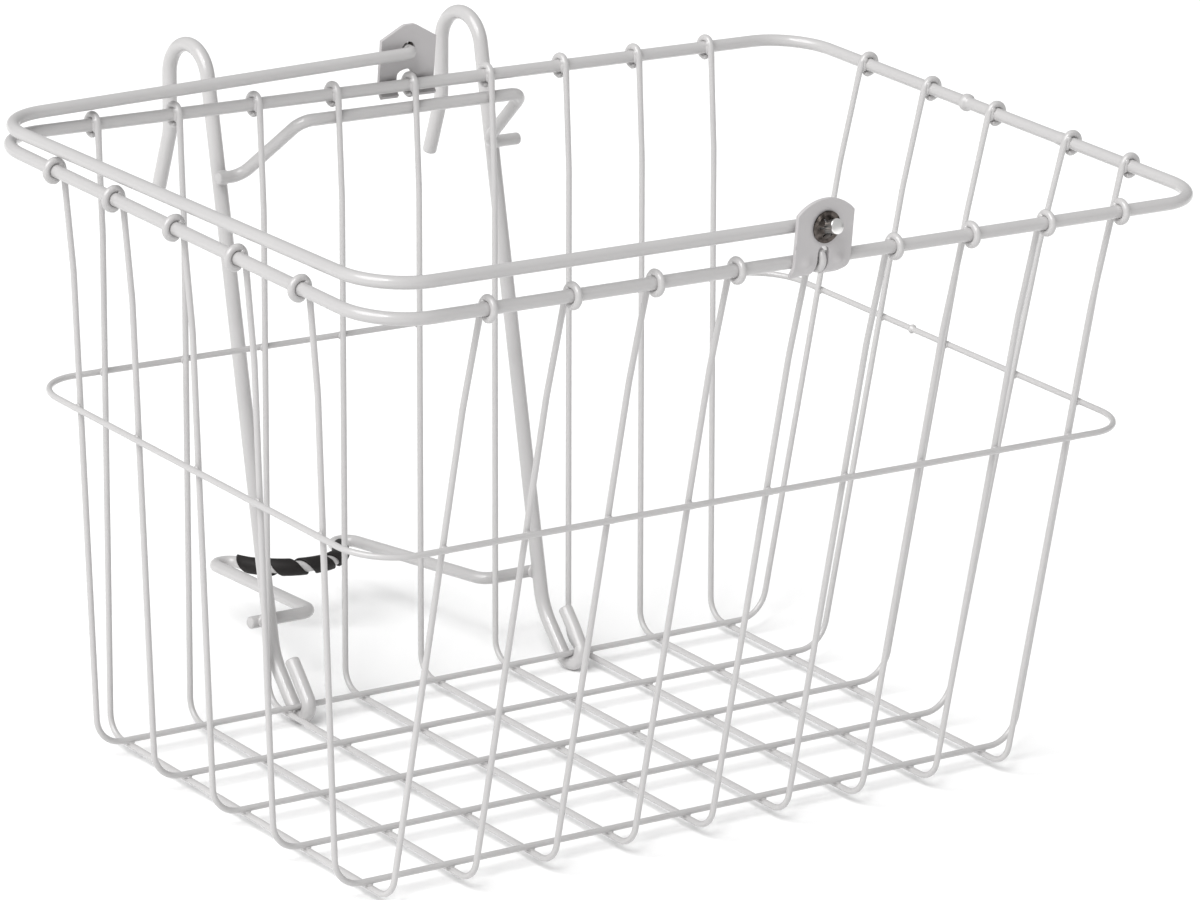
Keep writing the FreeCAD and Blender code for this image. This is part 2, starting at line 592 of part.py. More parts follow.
def bracket_slot(body):
    """An upright slot with a round top, open at the bottom."""
    sketch = new_sketch(body, body.Name + "_slot", "XZ_Plane")
    half, top, low = "slot_wide / 2", "(slot_rise - slot_wide / 2)", "-(rim_dia + 2 * bracket_thick)"
    circle = Part.Circle(FreeCAD.Vector(0, value(top), 0), FreeCAD.Vector(0, 0, 1), value(half))
    sketch.addGeometry(Part.ArcOfCircle(circle, 0, math.pi), False)
    left_top = FreeCAD.Vector(-value(half), value(top), 0)
    right_top = FreeCAD.Vector(value(half), value(top), 0)
    left_low = FreeCAD.Vector(-value(half), value(low), 0)
    right_low = FreeCAD.Vector(value(half), value(low), 0)
    sketch.addGeometry(Part.LineSegment(left_top, left_low), False)
    sketch.addGeometry(Part.LineSegment(left_low, right_low), False)
    sketch.addGeometry(Part.LineSegment(right_low, right_top), False)
    for pair in ((0, 2, 1, 1), (1, 2, 2, 1), (2, 2, 3, 1), (3, 2, 0, 1)):
        sketch.addConstraint(Sketcher.Constraint("Coincident", *pair))
    corner_point(sketch, 0, 3, "0", top)
    fix(sketch, "DistanceY", (1, 1), top)
    corner_point(sketch, 1, 2, "-" + half, low)
    corner_point(sketch, 3, 1, half, low)
    corner_point(sketch, 3, 2, half, top)
    doc.recompute()
    return sketch


def bracket_clip(body, name, hand):
    """The clipped lower corner on one side."""
    sketch = new_sketch(body, body.Name + name, "XZ_Plane")
    edge = "%s * bracket_wide / 2" % hand
    low = "-(rim_rad + bracket_thick)"
    inward = "%s * (bracket_wide / 2 - bracket_foot / 2)" % hand
    beyond = "%s * (bracket_wide / 2 + 2)" % hand
    points = ((edge, low + " + bracket_foot"), (inward, low), (inward, low + " - 2"),
              (beyond, low + " - 2"), (beyond, low + " + bracket_foot"))
    polygon(sketch, points)
    doc.recompute()
    return sketch


def make_bracket(label, hand):
    """Sheet-metal bail bracket, clenched round the rim; drawn about the rim's axis."""
    turn = "0" if hand < 0 else "180"
    body = new_body(label, side="%d * rim_width / 2" % hand, level="rim_height", turn=turn)
    pad = body.newObject("PartDesign::Pad", label + "_sheet")
    pad.Profile = bracket_side(body)
    pad.Length = value("bracket_wide")
    pad.setExpression("Length", linked("bracket_wide * 1mm"))
    pad.Midplane = True
    doc.recompute()
    cut(body, bracket_top(body), label + "_top_cut")
    cut(body, bracket_hole(body), label + "_pivot_hole")
    cut(body, bracket_slot(body), label + "_slot_cut")
    cut(body, bracket_clip(body, "_clip_left", -1), label + "_clip_left_cut")
    cut(body, bracket_clip(body, "_clip_right", 1), label + "_clip_right_cut")
    return body


def make_push_nut(label, hand):
    """A dished spring-steel disc with six teeth, pushed onto the bail's pivot end."""
    turn = "0" if hand < 0 else "180"
    body = new_body(label, side="%d * (plate_face + bracket_thick + nut_gap)" % hand,
                    level="pivot_height", turn=turn)
    outline = new_sketch(body, label + "_outline", "XY_Plane")
    mouth = "rim_rad"
    points = (("nut_dia / 2", "0"), ("nut_dia / 2", "-nut_thick"), ("nut_dia / 2 - 1.6", "-nut_thick"),
              (mouth, "-(nut_thick + nut_dish)"), (mouth, "-nut_dish"), ("nut_dia / 2 - 1.4", "0"))
    polygon(outline, points)
    doc.recompute()
    spin = body.newObject("PartDesign::Revolution", label + "_disc")
    spin.Profile = outline
    spin.ReferenceAxis = (outline, ["V_Axis"])
    spin.Angle = 360
    doc.recompute()
    notch = new_sketch(body, label + "_notch", "XZ_Plane")
    far = "nut_dia / 2 - 2.1"
    polygon(notch, (("0", "-0.35"), (far, "-0.35"), (far, "0.35"), ("0", "0.35")))
    doc.recompute()
    pocket = cut(body, notch, label + "_notch_cut")
    ring = body.newObject("PartDesign::PolarPattern", label + "_teeth")
    ring.Originals = [pocket]
    ring.Axis = (notch, ["N_Axis"])
    ring.Angle = 360
    ring.Occurrences = 6
    body.Tip = ring
    doc.recompute()
    return body


def build():
    made = [make_ring("rim_wire", "rim_length / 2", "rim_width / 2", "rim_corner", "rim_height", "rim_rad")]
    made.append(make_ring("middle_hoop", "hoop_half_long", "hoop_half_wide", "hoop_corner",
                          "hoop_height", "wall_rad"))
    for number in range(1, 10):
        label = "cross_wire_%d" % number
        made.append(make_u_wire(label, "YZ_Plane", "cross", along="%d * cross_pitch" % (number - 5)))
    for number in range(1, 6):
        label = "long_wire_%d" % number
        made.append(make_u_wire(label, "XZ_Plane", "long", side="%d * long_pitch" % (3 - number)))
    made.append(make_hanger("hanger_wire_left", -1))
    made.append(make_hanger("hanger_wire_right", 1))
    made.append(make_upper_brace())
    made.append(make_lower_brace())
    made.append(make_wrap())
    made.append(make_bracket("bail_bracket_front", -1))
    made.append(make_bracket("bail_bracket_rear", 1))
    made.append(make_bail())
    made.append(make_push_nut("push_nut_front", -1))
    made.append(make_push_nut("push_nut_rear", 1))
    return made


def check(bodies):
    """Stops if any object failed or any piece is not one valid closed solid."""
    doc.recompute()
    for thing in doc.Objects:
        if "Invalid" in thing.State or "Error" in thing.State:
            raise ValueError(thing.Name + " did not compute")
    for body in bodies:
        shape = body.Shape
        if shape.isNull() or not shape.isValid() or len(shape.Solids) != 1:
            raise ValueError(body.Label + " is not one valid solid")


pieces = build()
check(pieces)
for piece in pieces:
    piece.Shape.exportStep("parts/%s.step" % piece.Label)
print("pieces", len(pieces), "handlebar axis behind the basket's middle", round(value("bar_reach"), 4),
      "above the base", round(value("bar_height"), 4))
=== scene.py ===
import math

import bpy
import numpy as np
from mathutils import Matrix, Vector


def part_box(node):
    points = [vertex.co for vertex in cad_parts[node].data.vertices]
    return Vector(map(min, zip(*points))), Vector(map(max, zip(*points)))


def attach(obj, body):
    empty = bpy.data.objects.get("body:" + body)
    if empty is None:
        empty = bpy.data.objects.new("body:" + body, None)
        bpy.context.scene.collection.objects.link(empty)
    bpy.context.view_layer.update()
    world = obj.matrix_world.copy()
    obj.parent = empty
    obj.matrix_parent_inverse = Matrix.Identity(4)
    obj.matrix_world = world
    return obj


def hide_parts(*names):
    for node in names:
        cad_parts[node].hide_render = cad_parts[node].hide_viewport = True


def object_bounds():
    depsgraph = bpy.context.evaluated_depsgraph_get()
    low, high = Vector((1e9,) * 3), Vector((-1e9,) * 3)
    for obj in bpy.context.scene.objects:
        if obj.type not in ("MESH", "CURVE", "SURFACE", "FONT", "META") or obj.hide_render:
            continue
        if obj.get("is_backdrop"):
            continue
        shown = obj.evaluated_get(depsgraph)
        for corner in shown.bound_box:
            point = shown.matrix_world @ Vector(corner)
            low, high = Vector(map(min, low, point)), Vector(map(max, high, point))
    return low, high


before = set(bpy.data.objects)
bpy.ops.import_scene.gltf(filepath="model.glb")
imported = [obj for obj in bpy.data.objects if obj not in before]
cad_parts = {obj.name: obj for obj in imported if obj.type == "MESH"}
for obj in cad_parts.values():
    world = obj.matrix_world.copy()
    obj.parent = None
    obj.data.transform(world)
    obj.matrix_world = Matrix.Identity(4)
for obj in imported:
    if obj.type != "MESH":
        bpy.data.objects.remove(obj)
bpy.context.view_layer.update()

MM = 0.001


# ---------------------------------------------------------------- sizes
# Millimetres. Places come from the CAD nodes' boxes; wire gauges and bends
# are the part's own.

def box_mm(node):
    """Lowest and highest corners of a CAD node."""
    low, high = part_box(node)
    return np.array(low) / MM, np.array(high) / MM


def middle_of(node, axis):
    """Middle of a CAD node's box along one axis."""
    low, high = box_mm(node)
    return (low[axis] + high[axis]) / 2


RIM_RAD, WALL_RAD, HANGER_RAD, BRACE_RAD = 2.35, 1.15, 2.8, 2.4
RIM_LOW, RIM_HIGH = box_mm("rim_wire")
RIM_LEVEL = (RIM_LOW[2] + RIM_HIGH[2]) / 2
MIDDLE_Y = (RIM_LOW[1] + RIM_HIGH[1]) / 2
RIM_HALF = (RIM_HIGH - RIM_LOW)[:2] / 2 - RIM_RAD
BASE = box_mm("cross_wire_5")[0][2]
RIM_UP = RIM_LEVEL - BASE
HOOP_LOW, HOOP_HIGH = box_mm("middle_hoop")
HOOP_HALF = (HOOP_HIGH - HOOP_LOW)[:2] / 2 - WALL_RAD
HOOP_LEVEL = (HOOP_LOW[2] + HOOP_HIGH[2]) / 2
RIM_CORNER, HOOP_CORNER = 22.0, 20.0
CROSS = {"half": RIM_HALF[1], "base": 90.3, "level": WALL_RAD, "bend": 9.0}
LONG = {"half": RIM_HALF[0], "base": 157.4, "level": 3 * WALL_RAD, "bend": 12.0}
CURL_END, CURL_GAP = math.radians(300), 0.5
KICK_TURN, KICK_RUN, KICK_BEND = math.radians(3), 40.0, 90.0
CROSS_AT = {n: middle_of("cross_wire_%d" % n, 0) for n in range(1, 10)}
LONG_AT = {n: middle_of("long_wire_%d" % n, 1) for n in range(1, 6)}
HANGER_AT = {side: middle_of("hanger_wire_" + side, 0) for side in ("left", "right")}
QUARTER = math.pi / 2


# ---------------------------------------------------------------- paths

def trace(start, moves, fine=5.0, step=6.0):
    """Points along straight runs joined by tangent arcs. A run is (heading, length)
    in radians and mm; an arc is (radius, turn, "arc"), left if the turn is positive."""
    at, heading, out = np.array(start, float), None, [np.array([start], float)]
    for number, move in enumerate(moves):
        if len(move) == 2:
            heading = move[0]
            count = max(2, int(move[1] / step) + 1)
            along = np.linspace(0, move[1], count)[1:, None]
            out.append(at + along * np.array([math.cos(heading), math.sin(heading)]))
        else:
            radius, turn = move[0], move[1]
            if heading is None:
                heading = moves[number + 1][0] - turn
            hand = math.copysign(1, turn)
            centre = at + hand * radius * np.array([-math.sin(heading), math.cos(heading)])
            count = max(3, int(abs(math.degrees(turn)) / fine) + 1)
            angle = heading - hand * math.pi / 2 + np.linspace(0, turn, count + 1)[1:]
            out.append(centre + radius * np.stack([np.cos(angle), np.sin(angle)], 1))
            heading += turn
        at = out[-1][-1]
    return np.concatenate(out)


def ring_path(half_long, half_wide, corner):
    """A rounded rectangle from the middle of its front side, anticlockwise."""
    quarter = (corner, math.pi / 2, "arc")
    across, deep = half_long - corner, 2 * (half_wide - corner)
    moves = [(0, across), quarter, (math.pi / 2, deep), quarter, (math.pi, 2 * across), quarter,
             (1.5 * math.pi, deep), quarter, (0, across)]
    return trace((0, -half_wide), moves)[:-1]


def wall_shape(kind):
    """Leans and lengths of one U wire: its wall touches the rim's inside, bends out
    by the kick a little below the rim, and meets the base at its corner."""
    weld = RIM_RAD + WALL_RAD
    off = weld * math.cos(KICK_TURN) + KICK_RUN * math.sin(KICK_TURN)
    out, up = kind["half"] - kind["base"], RIM_UP - kind["level"]
    reach = math.hypot(out, up)
    lean = math.atan(out / up) - math.asin(off / reach)
    rise = KICK_RUN * math.cos(KICK_TURN) - weld * math.sin(KICK_TURN)
    trim = kind["bend"] * math.tan((math.pi / 2 - lean) / 2)
    kick = KICK_BEND * math.tan(KICK_TURN / 2)
    wall = math.sqrt(reach ** 2 - off ** 2) - rise - trim - kick
    return lean, lean + KICK_TURN, wall, trim, KICK_RUN - kick


def u_path(kind):
    """Curl over the rim, down one wall, across the base, up the other and over."""
    lean, top, wall, trim, short = wall_shape(kind)
    radius = RIM_RAD + WALL_RAD + CURL_GAP
    centre = kind["half"] + CURL_GAP * math.cos(top)
    start = (-(centre - radius * math.cos(CURL_END)),
             RIM_UP - CURL_GAP * math.sin(top) + radius * math.sin(CURL_END))
    curl = (radius, -(CURL_END - top), "arc")
    bend = (kind["bend"], math.pi / 2 - lean, "arc")
    kick = (KICK_BEND, -KICK_TURN, "arc")
    moves = [curl, (top - QUARTER, short), kick, (lean - QUARTER, wall), bend,
             (0, 2 * (kind["base"] - trim)), bend, (QUARTER - lean, wall), kick,
             (QUARTER - top, short), curl]
    return trace(start, moves, fine=9)


def bow(side, level, amount):
    """How far a wire's wall drifts sideways towards the rim, on the +side end."""
    up = np.clip(level / RIM_UP, 0, 1)
    return amount * up ** 1.5 * (side > 0)


# ---------------------------------------------------------------- meshes

def mesh_piece(name, points, faces, body, material):
    """A smooth mesh that rides on a body. The signed volumes of the tetrahedra from
    the origin to every face say whether its faces have to be turned outwards."""
    points = np.asarray(points, float) * MM
    volume = 0.0
    for group in faces:
        a, b, c = points[group[:, 0]], points[group[:, 1]], points[group[:, 2]]
        volume += np.einsum("ij,ij->", a, np.cross(b, c))
        if group.shape[1] == 4:
            d = points[group[:, 3]]
            volume += np.einsum("ij,ij->", a, np.cross(c, d))
    polygons = []
    for group in faces:
        polygons += (group if volume > 0 else group[:, ::-1]).tolist()
    mesh = bpy.data.meshes.new(name)
    mesh.from_pydata(points.tolist(), [], polygons)
    mesh.polygons.foreach_set("use_smooth", [True] * len(polygons))
    mesh.materials.append(material)
    mesh.update()
    piece = bpy.data.objects.new(name, mesh)
    bpy.context.scene.collection.objects.link(piece)
    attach(piece, body)
    return piece


def grid_faces(rows, columns, wrap_rows=False, wrap_columns=True, base=0):
    """Quads joining a grid of points, row after row."""
    r = np.arange(rows if wrap_rows else rows - 1)[:, None]
    c = np.arange(columns if wrap_columns else columns - 1)[None, :]
    r2, c2 = (r + 1) % rows, (c + 1) % columns
    quads = np.stack([r * columns + c, r * columns + c2, r2 * columns + c2, r2 * columns + c], -1)
    return quads.reshape(-1, 4) + base


def fan(first, count, centre, base=0):
    """Triangles closing a ring of points on one centre point."""
    k = np.arange(count)
    return np.stack([first + k, first + (k + 1) % count, np.full(count, centre)], -1) + base


def frames(path, normal, closed):
    """Tangent and side at each point: the side is the tangent turned about the
    path's plane normal, so nothing twists."""
    if closed:
        tangent = np.roll(path, -1, 0) - np.roll(path, 1, 0)
    else:
        tangent = np.gradient(path, axis=0)
    tangent /= np.linalg.norm(tangent, axis=1)[:, None]
    side = np.cross(np.asarray(normal, float)[None, :], tangent)
    side /= np.linalg.norm(side, axis=1)[:, None]
    other = np.cross(tangent, side)
    return tangent, side, other


def lengthen(path, ends):
    """Extra rings close to each cut end: ends are distances from the tip."""
    clear = 0.3

    def more(points):
        keep = points[distance_from_ends(points)[0] > max(ends) + clear]
        return np.concatenate([resample(points, ends), keep])

    return more(more(path)[::-1])[::-1]


def tube_surface(path, radius, normal, sides=14, closed=False, wide=None, deep=None):
    """Rings of radius * (cos a, sin a) carried along the path; wide and deep scale
    each ring along its side and along the plane's normal. Open ends close on a point."""
    tangent, side, other = frames(path, normal, closed)
    count = len(path)
    radius = np.broadcast_to(radius, (count,))
    wide = np.ones(count) if wide is None else wide
    deep = np.ones(count) if deep is None else deep
    angle = np.linspace(0, 2 * math.pi, sides, endpoint=False)
    points = (path[:, None, :]
              + side[:, None, :] * (radius * wide)[:, None, None] * np.cos(angle)[None, :, None]
              + other[:, None, :] * (radius * deep)[:, None, None] * np.sin(angle)[None, :, None])
    points = points.reshape(-1, 3)
    faces = [grid_faces(count, sides, wrap_rows=closed)]
    if not closed:
        points = np.concatenate([points, path[:1], path[-1:]])
        faces.append(fan(0, sides, count * sides)[:, ::-1])
        faces.append(fan((count - 1) * sides, sides, count * sides + 1))
    return points, faces


def distance_from_ends(path):
    """Length along a path from its first point, and from its last."""
    gaps = np.linalg.norm(np.diff(path, axis=0), axis=1)
    run = np.concatenate([[0], np.cumsum(gaps)])
    return run, run[-1] - run


def resample(path, spots):
    """Points at given lengths along a path."""
    run = distance_from_ends(path)[0]
    return np.stack([np.interp(spots, run, path[:, k]) for k in range(path.shape[1])], -1)


def place(flat, across, origin):
    """A plane path put into the frame: its first axis is x, its second is across."""
    return np.asarray(origin) + flat[:, :1] * [1, 0, 0] + flat[:, 1:2] * across


def join_surfaces(parts):
    """Several surfaces as one, their face numbers moved up by the points before them."""
    points, quads, tris, base = [], [], [], 0
    for part, groups in parts:
        points.append(part)
        for group in groups:
            (quads if group.shape[1] == 4 else tris).append(group + base)
        base += len(part)
    return np.concatenate(points), [np.concatenate(groups) for groups in (quads, tris)]


def bead(centre, axes, sizes, rings=5, sides=10):
    """A weld bead: an ellipsoid of (sin t cos a, sin t sin a, cos t) times its three
    half sizes, with its poles on the third axis."""
    turn = np.linspace(0, math.pi, rings + 2)[1:-1]
    angle = np.linspace(0, 2 * math.pi, sides, endpoint=False)
    x = np.sin(turn)[:, None] * np.cos(angle)[None, :]
    y = np.sin(turn)[:, None] * np.sin(angle)[None, :]
    z = np.broadcast_to(np.cos(turn)[:, None], x.shape)
    local = np.stack([x, y, z], -1).reshape(-1, 3) * sizes
    poles = np.array([[0, 0, sizes[2]], [0, 0, -sizes[2]]])
    points = np.asarray(centre) + np.concatenate([local, poles]) @ axes
    last = rings * sides
    faces = [grid_faces(rings, sides)[:, ::-1], fan(0, sides, last),
             fan((rings - 1) * sides, sides, last + 1)[:, ::-1]]
    return points, faces


# ---------------------------------------------------------------- materials

def node_material(name):
    """A material with its node tree and its shader."""
    material = bpy.data.materials.new(name)
    material.use_nodes = True
    tree = material.node_tree
    return material, tree, tree.nodes["Principled BSDF"]


def link(tree, source, target):
    tree.links.new(source, target)


def add_node(tree, kind, **values):
    """A node with values on its sockets; an underscore stands for a space in a name."""
    node = tree.nodes.new(kind)
    for name, value in values.items():
        node.inputs[name.replace("_", " ")].default_value = value
    return node


def colour_mix(tree):
    node = tree.nodes.new("ShaderNodeMix")
    node.data_type = "RGBA"
    return node


def colour_ramp(tree, dark, pale, start=0.0, end=1.0):
    node = tree.nodes.new("ShaderNodeValToRGB")
    for stop, colour, place_at in zip(node.color_ramp.elements, (dark, pale), (start, end)):
        stop.color, stop.position = (*colour, 1), place_at
    return node


COAT_SOCKETS = (("Tone", "INPUT", "Color"), ("Shade", "INPUT", "Color"),
                ("Peel scale", "INPUT", "Float"), ("Rough low", "INPUT", "Float"),
                ("Rough high", "INPUT", "Float"), ("Color", "OUTPUT", "Color"),
                ("Roughness", "OUTPUT", "Float"), ("Height", "OUTPUT", "Float"))


def coat_group():
    """Powder coat: a slow change of tone, the fine peel of the surface as height,
    and a few dull specks."""
    group = bpy.data.node_groups.new("coat_surface", "ShaderNodeTree")
    for name, way, kind in COAT_SOCKETS:
        group.interface.new_socket(name, in_out=way, socket_type="NodeSocket" + kind)
    entry, out = group.nodes.new("NodeGroupInput"), group.nodes.new("NodeGroupOutput")
    where = group.nodes.new("ShaderNodeTexCoord")
    slow = add_node(group, "ShaderNodeTexNoise", Scale=38, Detail=3)
    fine = add_node(group, "ShaderNodeTexNoise", Detail=2)
    specks = add_node(group, "ShaderNodeTexVoronoi", Scale=160)
    speck_mask = add_node(group, "ShaderNodeMapRange", From_Min=0.035, From_Max=0.075,
                          To_Min=0.35, To_Max=0.0)
    tone, speck_mix = colour_mix(group), colour_mix(group)
    rough = group.nodes.new("ShaderNodeMapRange")
    for texture in (slow, fine, specks):
        link(group, where.outputs["Object"], texture.inputs["Vector"])
    link(group, entry.outputs["Peel scale"], fine.inputs["Scale"])
    link(group, slow.outputs["Fac"], tone.inputs["Factor"])
    link(group, entry.outputs["Shade"], tone.inputs["A"])
    link(group, entry.outputs["Tone"], tone.inputs["B"])
    link(group, specks.outputs["Distance"], speck_mask.inputs["Value"])
    link(group, speck_mask.outputs["Result"], speck_mix.inputs["Factor"])
    link(group, tone.outputs["Result"], speck_mix.inputs["A"])
    link(group, entry.outputs["Shade"], speck_mix.inputs["B"])
    link(group, speck_mix.outputs["Result"], out.inputs["Color"])
    link(group, slow.outputs["Fac"], rough.inputs["Value"])
    link(group, entry.outputs["Rough low"], rough.inputs["To Min"])
    link(group, entry.outputs["Rough high"], rough.inputs["To Max"])
    link(group, rough.outputs["Result"], out.inputs["Roughness"])
    link(group, fine.outputs["Fac"], out.inputs["Height"])
    return group


COAT_GROUP = coat_group()


# tone, shade, scale of the peel, roughness from and to, depth of the peel (m),
# clear gloss and its roughness
WIRE_FINISH = ((0.50, 0.492, 0.488), (0.465, 0.456, 0.457), 420, (0.26, 0.38), 0.00012, 0.55, 0.1)
SHEET_FINISH = ((0.485, 0.47, 0.473), (0.445, 0.432, 0.436), 520, (0.38, 0.5), 0.0001, 0.1, 0.12)


def coat_material(name, finish):
    """A coat with one finish's values."""
    tone, shade, peel, rough, depth, gloss, gloss_rough = finish
    material, tree, shader = node_material(name)
    surface = tree.nodes.new("ShaderNodeGroup")
    surface.node_tree = COAT_GROUP
    for socket, value in (("Tone", (*tone, 1)), ("Shade", (*shade, 1)), ("Peel scale", peel),
                          ("Rough low", rough[0]), ("Rough high", rough[1])):
        surface.inputs[socket].default_value = value
    bump = add_node(tree, "ShaderNodeBump", Strength=0.35, Distance=depth)
    link(tree, surface.outputs["Color"], shader.inputs["Base Color"])
    link(tree, surface.outputs["Roughness"], shader.inputs["Roughness"])
    link(tree, surface.outputs["Height"], bump.inputs["Height"])
    link(tree, bump.outputs["Normal"], shader.inputs["Normal"])
    shader.inputs["Coat Weight"].default_value = gloss
    shader.inputs["Coat Roughness"].default_value = gloss_rough
    return material, tree, shader, surface


def bail_material():
    """The wire's coat, worn to bright steel where the bare mask on the mesh says."""
    material, tree, shader, surface = coat_material("bail_coat", WIRE_FINISH)
    mask = tree.nodes.new("ShaderNodeAttribute")
    mask.attribute_name = "bare"
    tint = colour_mix(tree)
    tint.inputs["B"].default_value = (0.93, 0.925, 0.91, 1)
    link(tree, mask.outputs["Fac"], tint.inputs["Factor"])
    link(tree, surface.outputs["Color"], tint.inputs["A"])
    link(tree, tint.outputs["Result"], shader.inputs["Base Color"])
    link(tree, mask.outputs["Fac"], shader.inputs["Metallic"])
    return material


def spring_material():
    """Blued spring steel: near black, browner in patches, with a fine rolled grain."""
    material, tree, shader = node_material("spring_steel")
    where = tree.nodes.new("ShaderNodeTexCoord")
    patches = add_node(tree, "ShaderNodeTexNoise", Scale=380, Detail=4)
    ramp = colour_ramp(tree, (0.016, 0.013, 0.012), (0.15, 0.13, 0.118), 0.35, 0.75)
    bump = add_node(tree, "ShaderNodeBump", Strength=0.4, Distance=0.0001)
    link(tree, where.outputs["Object"], patches.inputs["Vector"])
    link(tree, patches.outputs["Fac"], ramp.inputs["Fac"])
    link(tree, ramp.outputs["Color"], shader.inputs["Base Color"])
    link(tree, patches.outputs["Fac"], bump.inputs["Height"])
    link(tree, bump.outputs["Normal"], shader.inputs["Normal"])
    shader.inputs["Metallic"].default_value = 1.0
    shader.inputs["Roughness"].default_value = 0.26
    return material


def strip_material():
    """Black vinyl strip: a leather-like emboss from small cells, and dusty high spots."""
    material, tree, shader = node_material("grip_strip")
    where = tree.nodes.new("ShaderNodeTexCoord")
    cells = add_node(tree, "ShaderNodeTexVoronoi", Scale=1500)
    dust = add_node(tree, "ShaderNodeTexNoise", Scale=220)
    ramp = colour_ramp(tree, (0.006, 0.0052, 0.005), (0.017, 0.0145, 0.014))
    bump = add_node(tree, "ShaderNodeBump", Strength=0.5, Distance=0.00015)
    rough = add_node(tree, "ShaderNodeMapRange", To_Min=0.5, To_Max=0.68)
    for texture in (cells, dust):
        link(tree, where.outputs["Object"], texture.inputs["Vector"])
    link(tree, dust.outputs["Fac"], ramp.inputs["Fac"])
    link(tree, ramp.outputs["Color"], shader.inputs["Base Color"])
    link(tree, dust.outputs["Fac"], rough.inputs["Value"])
    link(tree, rough.outputs["Result"], shader.inputs["Roughness"])
    link(tree, cells.outputs["Distance"], bump.inputs["Height"])
    link(tree, bump.outputs["Normal"], shader.inputs["Normal"])
    shader.inputs["Specular IOR Level"].default_value = 0.28
    return material


WIRE_COAT = coat_material("wire_coat", WIRE_FINISH)[0]
SHEET_COAT = coat_material("sheet_coat", SHEET_FINISH)[0]
BAIL_COAT = bail_material()
SPRING = spring_material()
STRIP = strip_material()


# ---------------------------------------------------------------- wires

CURL_RUN, CURL_EASE, CURL_SNUG = 18.6, 2.5, RIM_RAD + 1.36
POOL_RUN, POOL_EASE, NIP = 31.0, 9.0, 1.6
DRIFT = {"long_wire_4": -5.5}


def wall_wire(node, path, normal):
    """One U wire. Round the rim its centreline is drawn in until the wire, thickened
    by weld and coat, touches the rim; its ends are nipped to a blunt wedge."""
    path = lengthen(path, [0, 0.3, 0.7, 1.1, NIP])
    near = np.minimum(*distance_from_ends(path))
    across = 1 - np.abs(np.asarray(normal, float))
    rim = np.array([RIM_HALF[0], RIM_HALF[1], 0]) * across
    hand = np.sign((path - [0, MIDDLE_Y, 0]) * across * [1, 1, 0])
    centre = rim * hand + np.array([0, MIDDLE_Y, RIM_LEVEL])
    out = (path - centre) * across
    reach = np.linalg.norm(out, axis=1)
    curled = near < CURL_RUN
    factor = np.where(curled, np.minimum(1, CURL_SNUG / np.maximum(reach, 1e-6)), 1)
    path = path + out * (factor - 1)[:, None]
    thick = np.where(curled, np.maximum(reach * factor - RIM_RAD, WALL_RAD) / WALL_RAD, 1.0)
    thick = 1 + (thick - 1) * np.clip((CURL_RUN - near) / CURL_EASE, 0, 1)
    pooled = 1 + 0.2 * np.clip((POOL_RUN - near) / POOL_EASE, 0, 1)
    tip = np.clip(near / NIP, 0, 1)
    points, faces = tube_surface(path, WALL_RAD, normal, 14, wide=thick * (0.4 + 0.6 * tip ** 0.6),
                                 deep=pooled * (0.85 + 0.15 * tip))
    piece = mesh_piece(node + "_drawn", points, faces, "basket", WIRE_COAT)
    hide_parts(node)


def wall_wires():
    """The nine wires that run the short way, then the five that run the long way."""
    cross, long = u_path(CROSS), u_path(LONG)
    for n, x in CROSS_AT.items():
        path = np.stack([np.full(len(cross), x), cross[:, 0] + MIDDLE_Y, cross[:, 1] + BASE], 1)
        wall_wire("cross_wire_%d" % n, path, (1, 0, 0))
    for n, y in LONG_AT.items():
        name = "long_wire_%d" % n
        drift = bow(long[:, 0], long[:, 1], DRIFT.get(name, 0))
        path = np.stack([long[:, 0], y + drift, long[:, 1] + BASE], 1)
        wall_wire(name, path, (0, 1, 0))


# node, half sizes, corner, level, gauge, where its ends meet, height of that weld's
# collar, and sides of the wire
RINGS = (("rim_wire", RIM_HALF, RIM_CORNER, RIM_LEVEL, RIM_RAD, 16.7, 1.1, 20),
         ("middle_hoop", HOOP_HALF, HOOP_CORNER, HOOP_LEVEL, WALL_RAD, 21.0, 0.75, 14))
WELD_REACH, WELD_CLEAR = 4.5, 4.8


def weld_spots(half, butt_y):
    """Where wires meet a ring, seen from above, and last where its own ends meet."""
    front = [(x, -half[1]) for x in CROSS_AT.values()]
    rear = [(x, half[1]) for x in CROSS_AT.values()]
    left = [(-half[0], y - MIDDLE_Y) for y in LONG_AT.values()]
    right = [(half[0], y - MIDDLE_Y) for y in LONG_AT.values()]
    return np.array(front + rear + left + right + [(half[0], butt_y)])


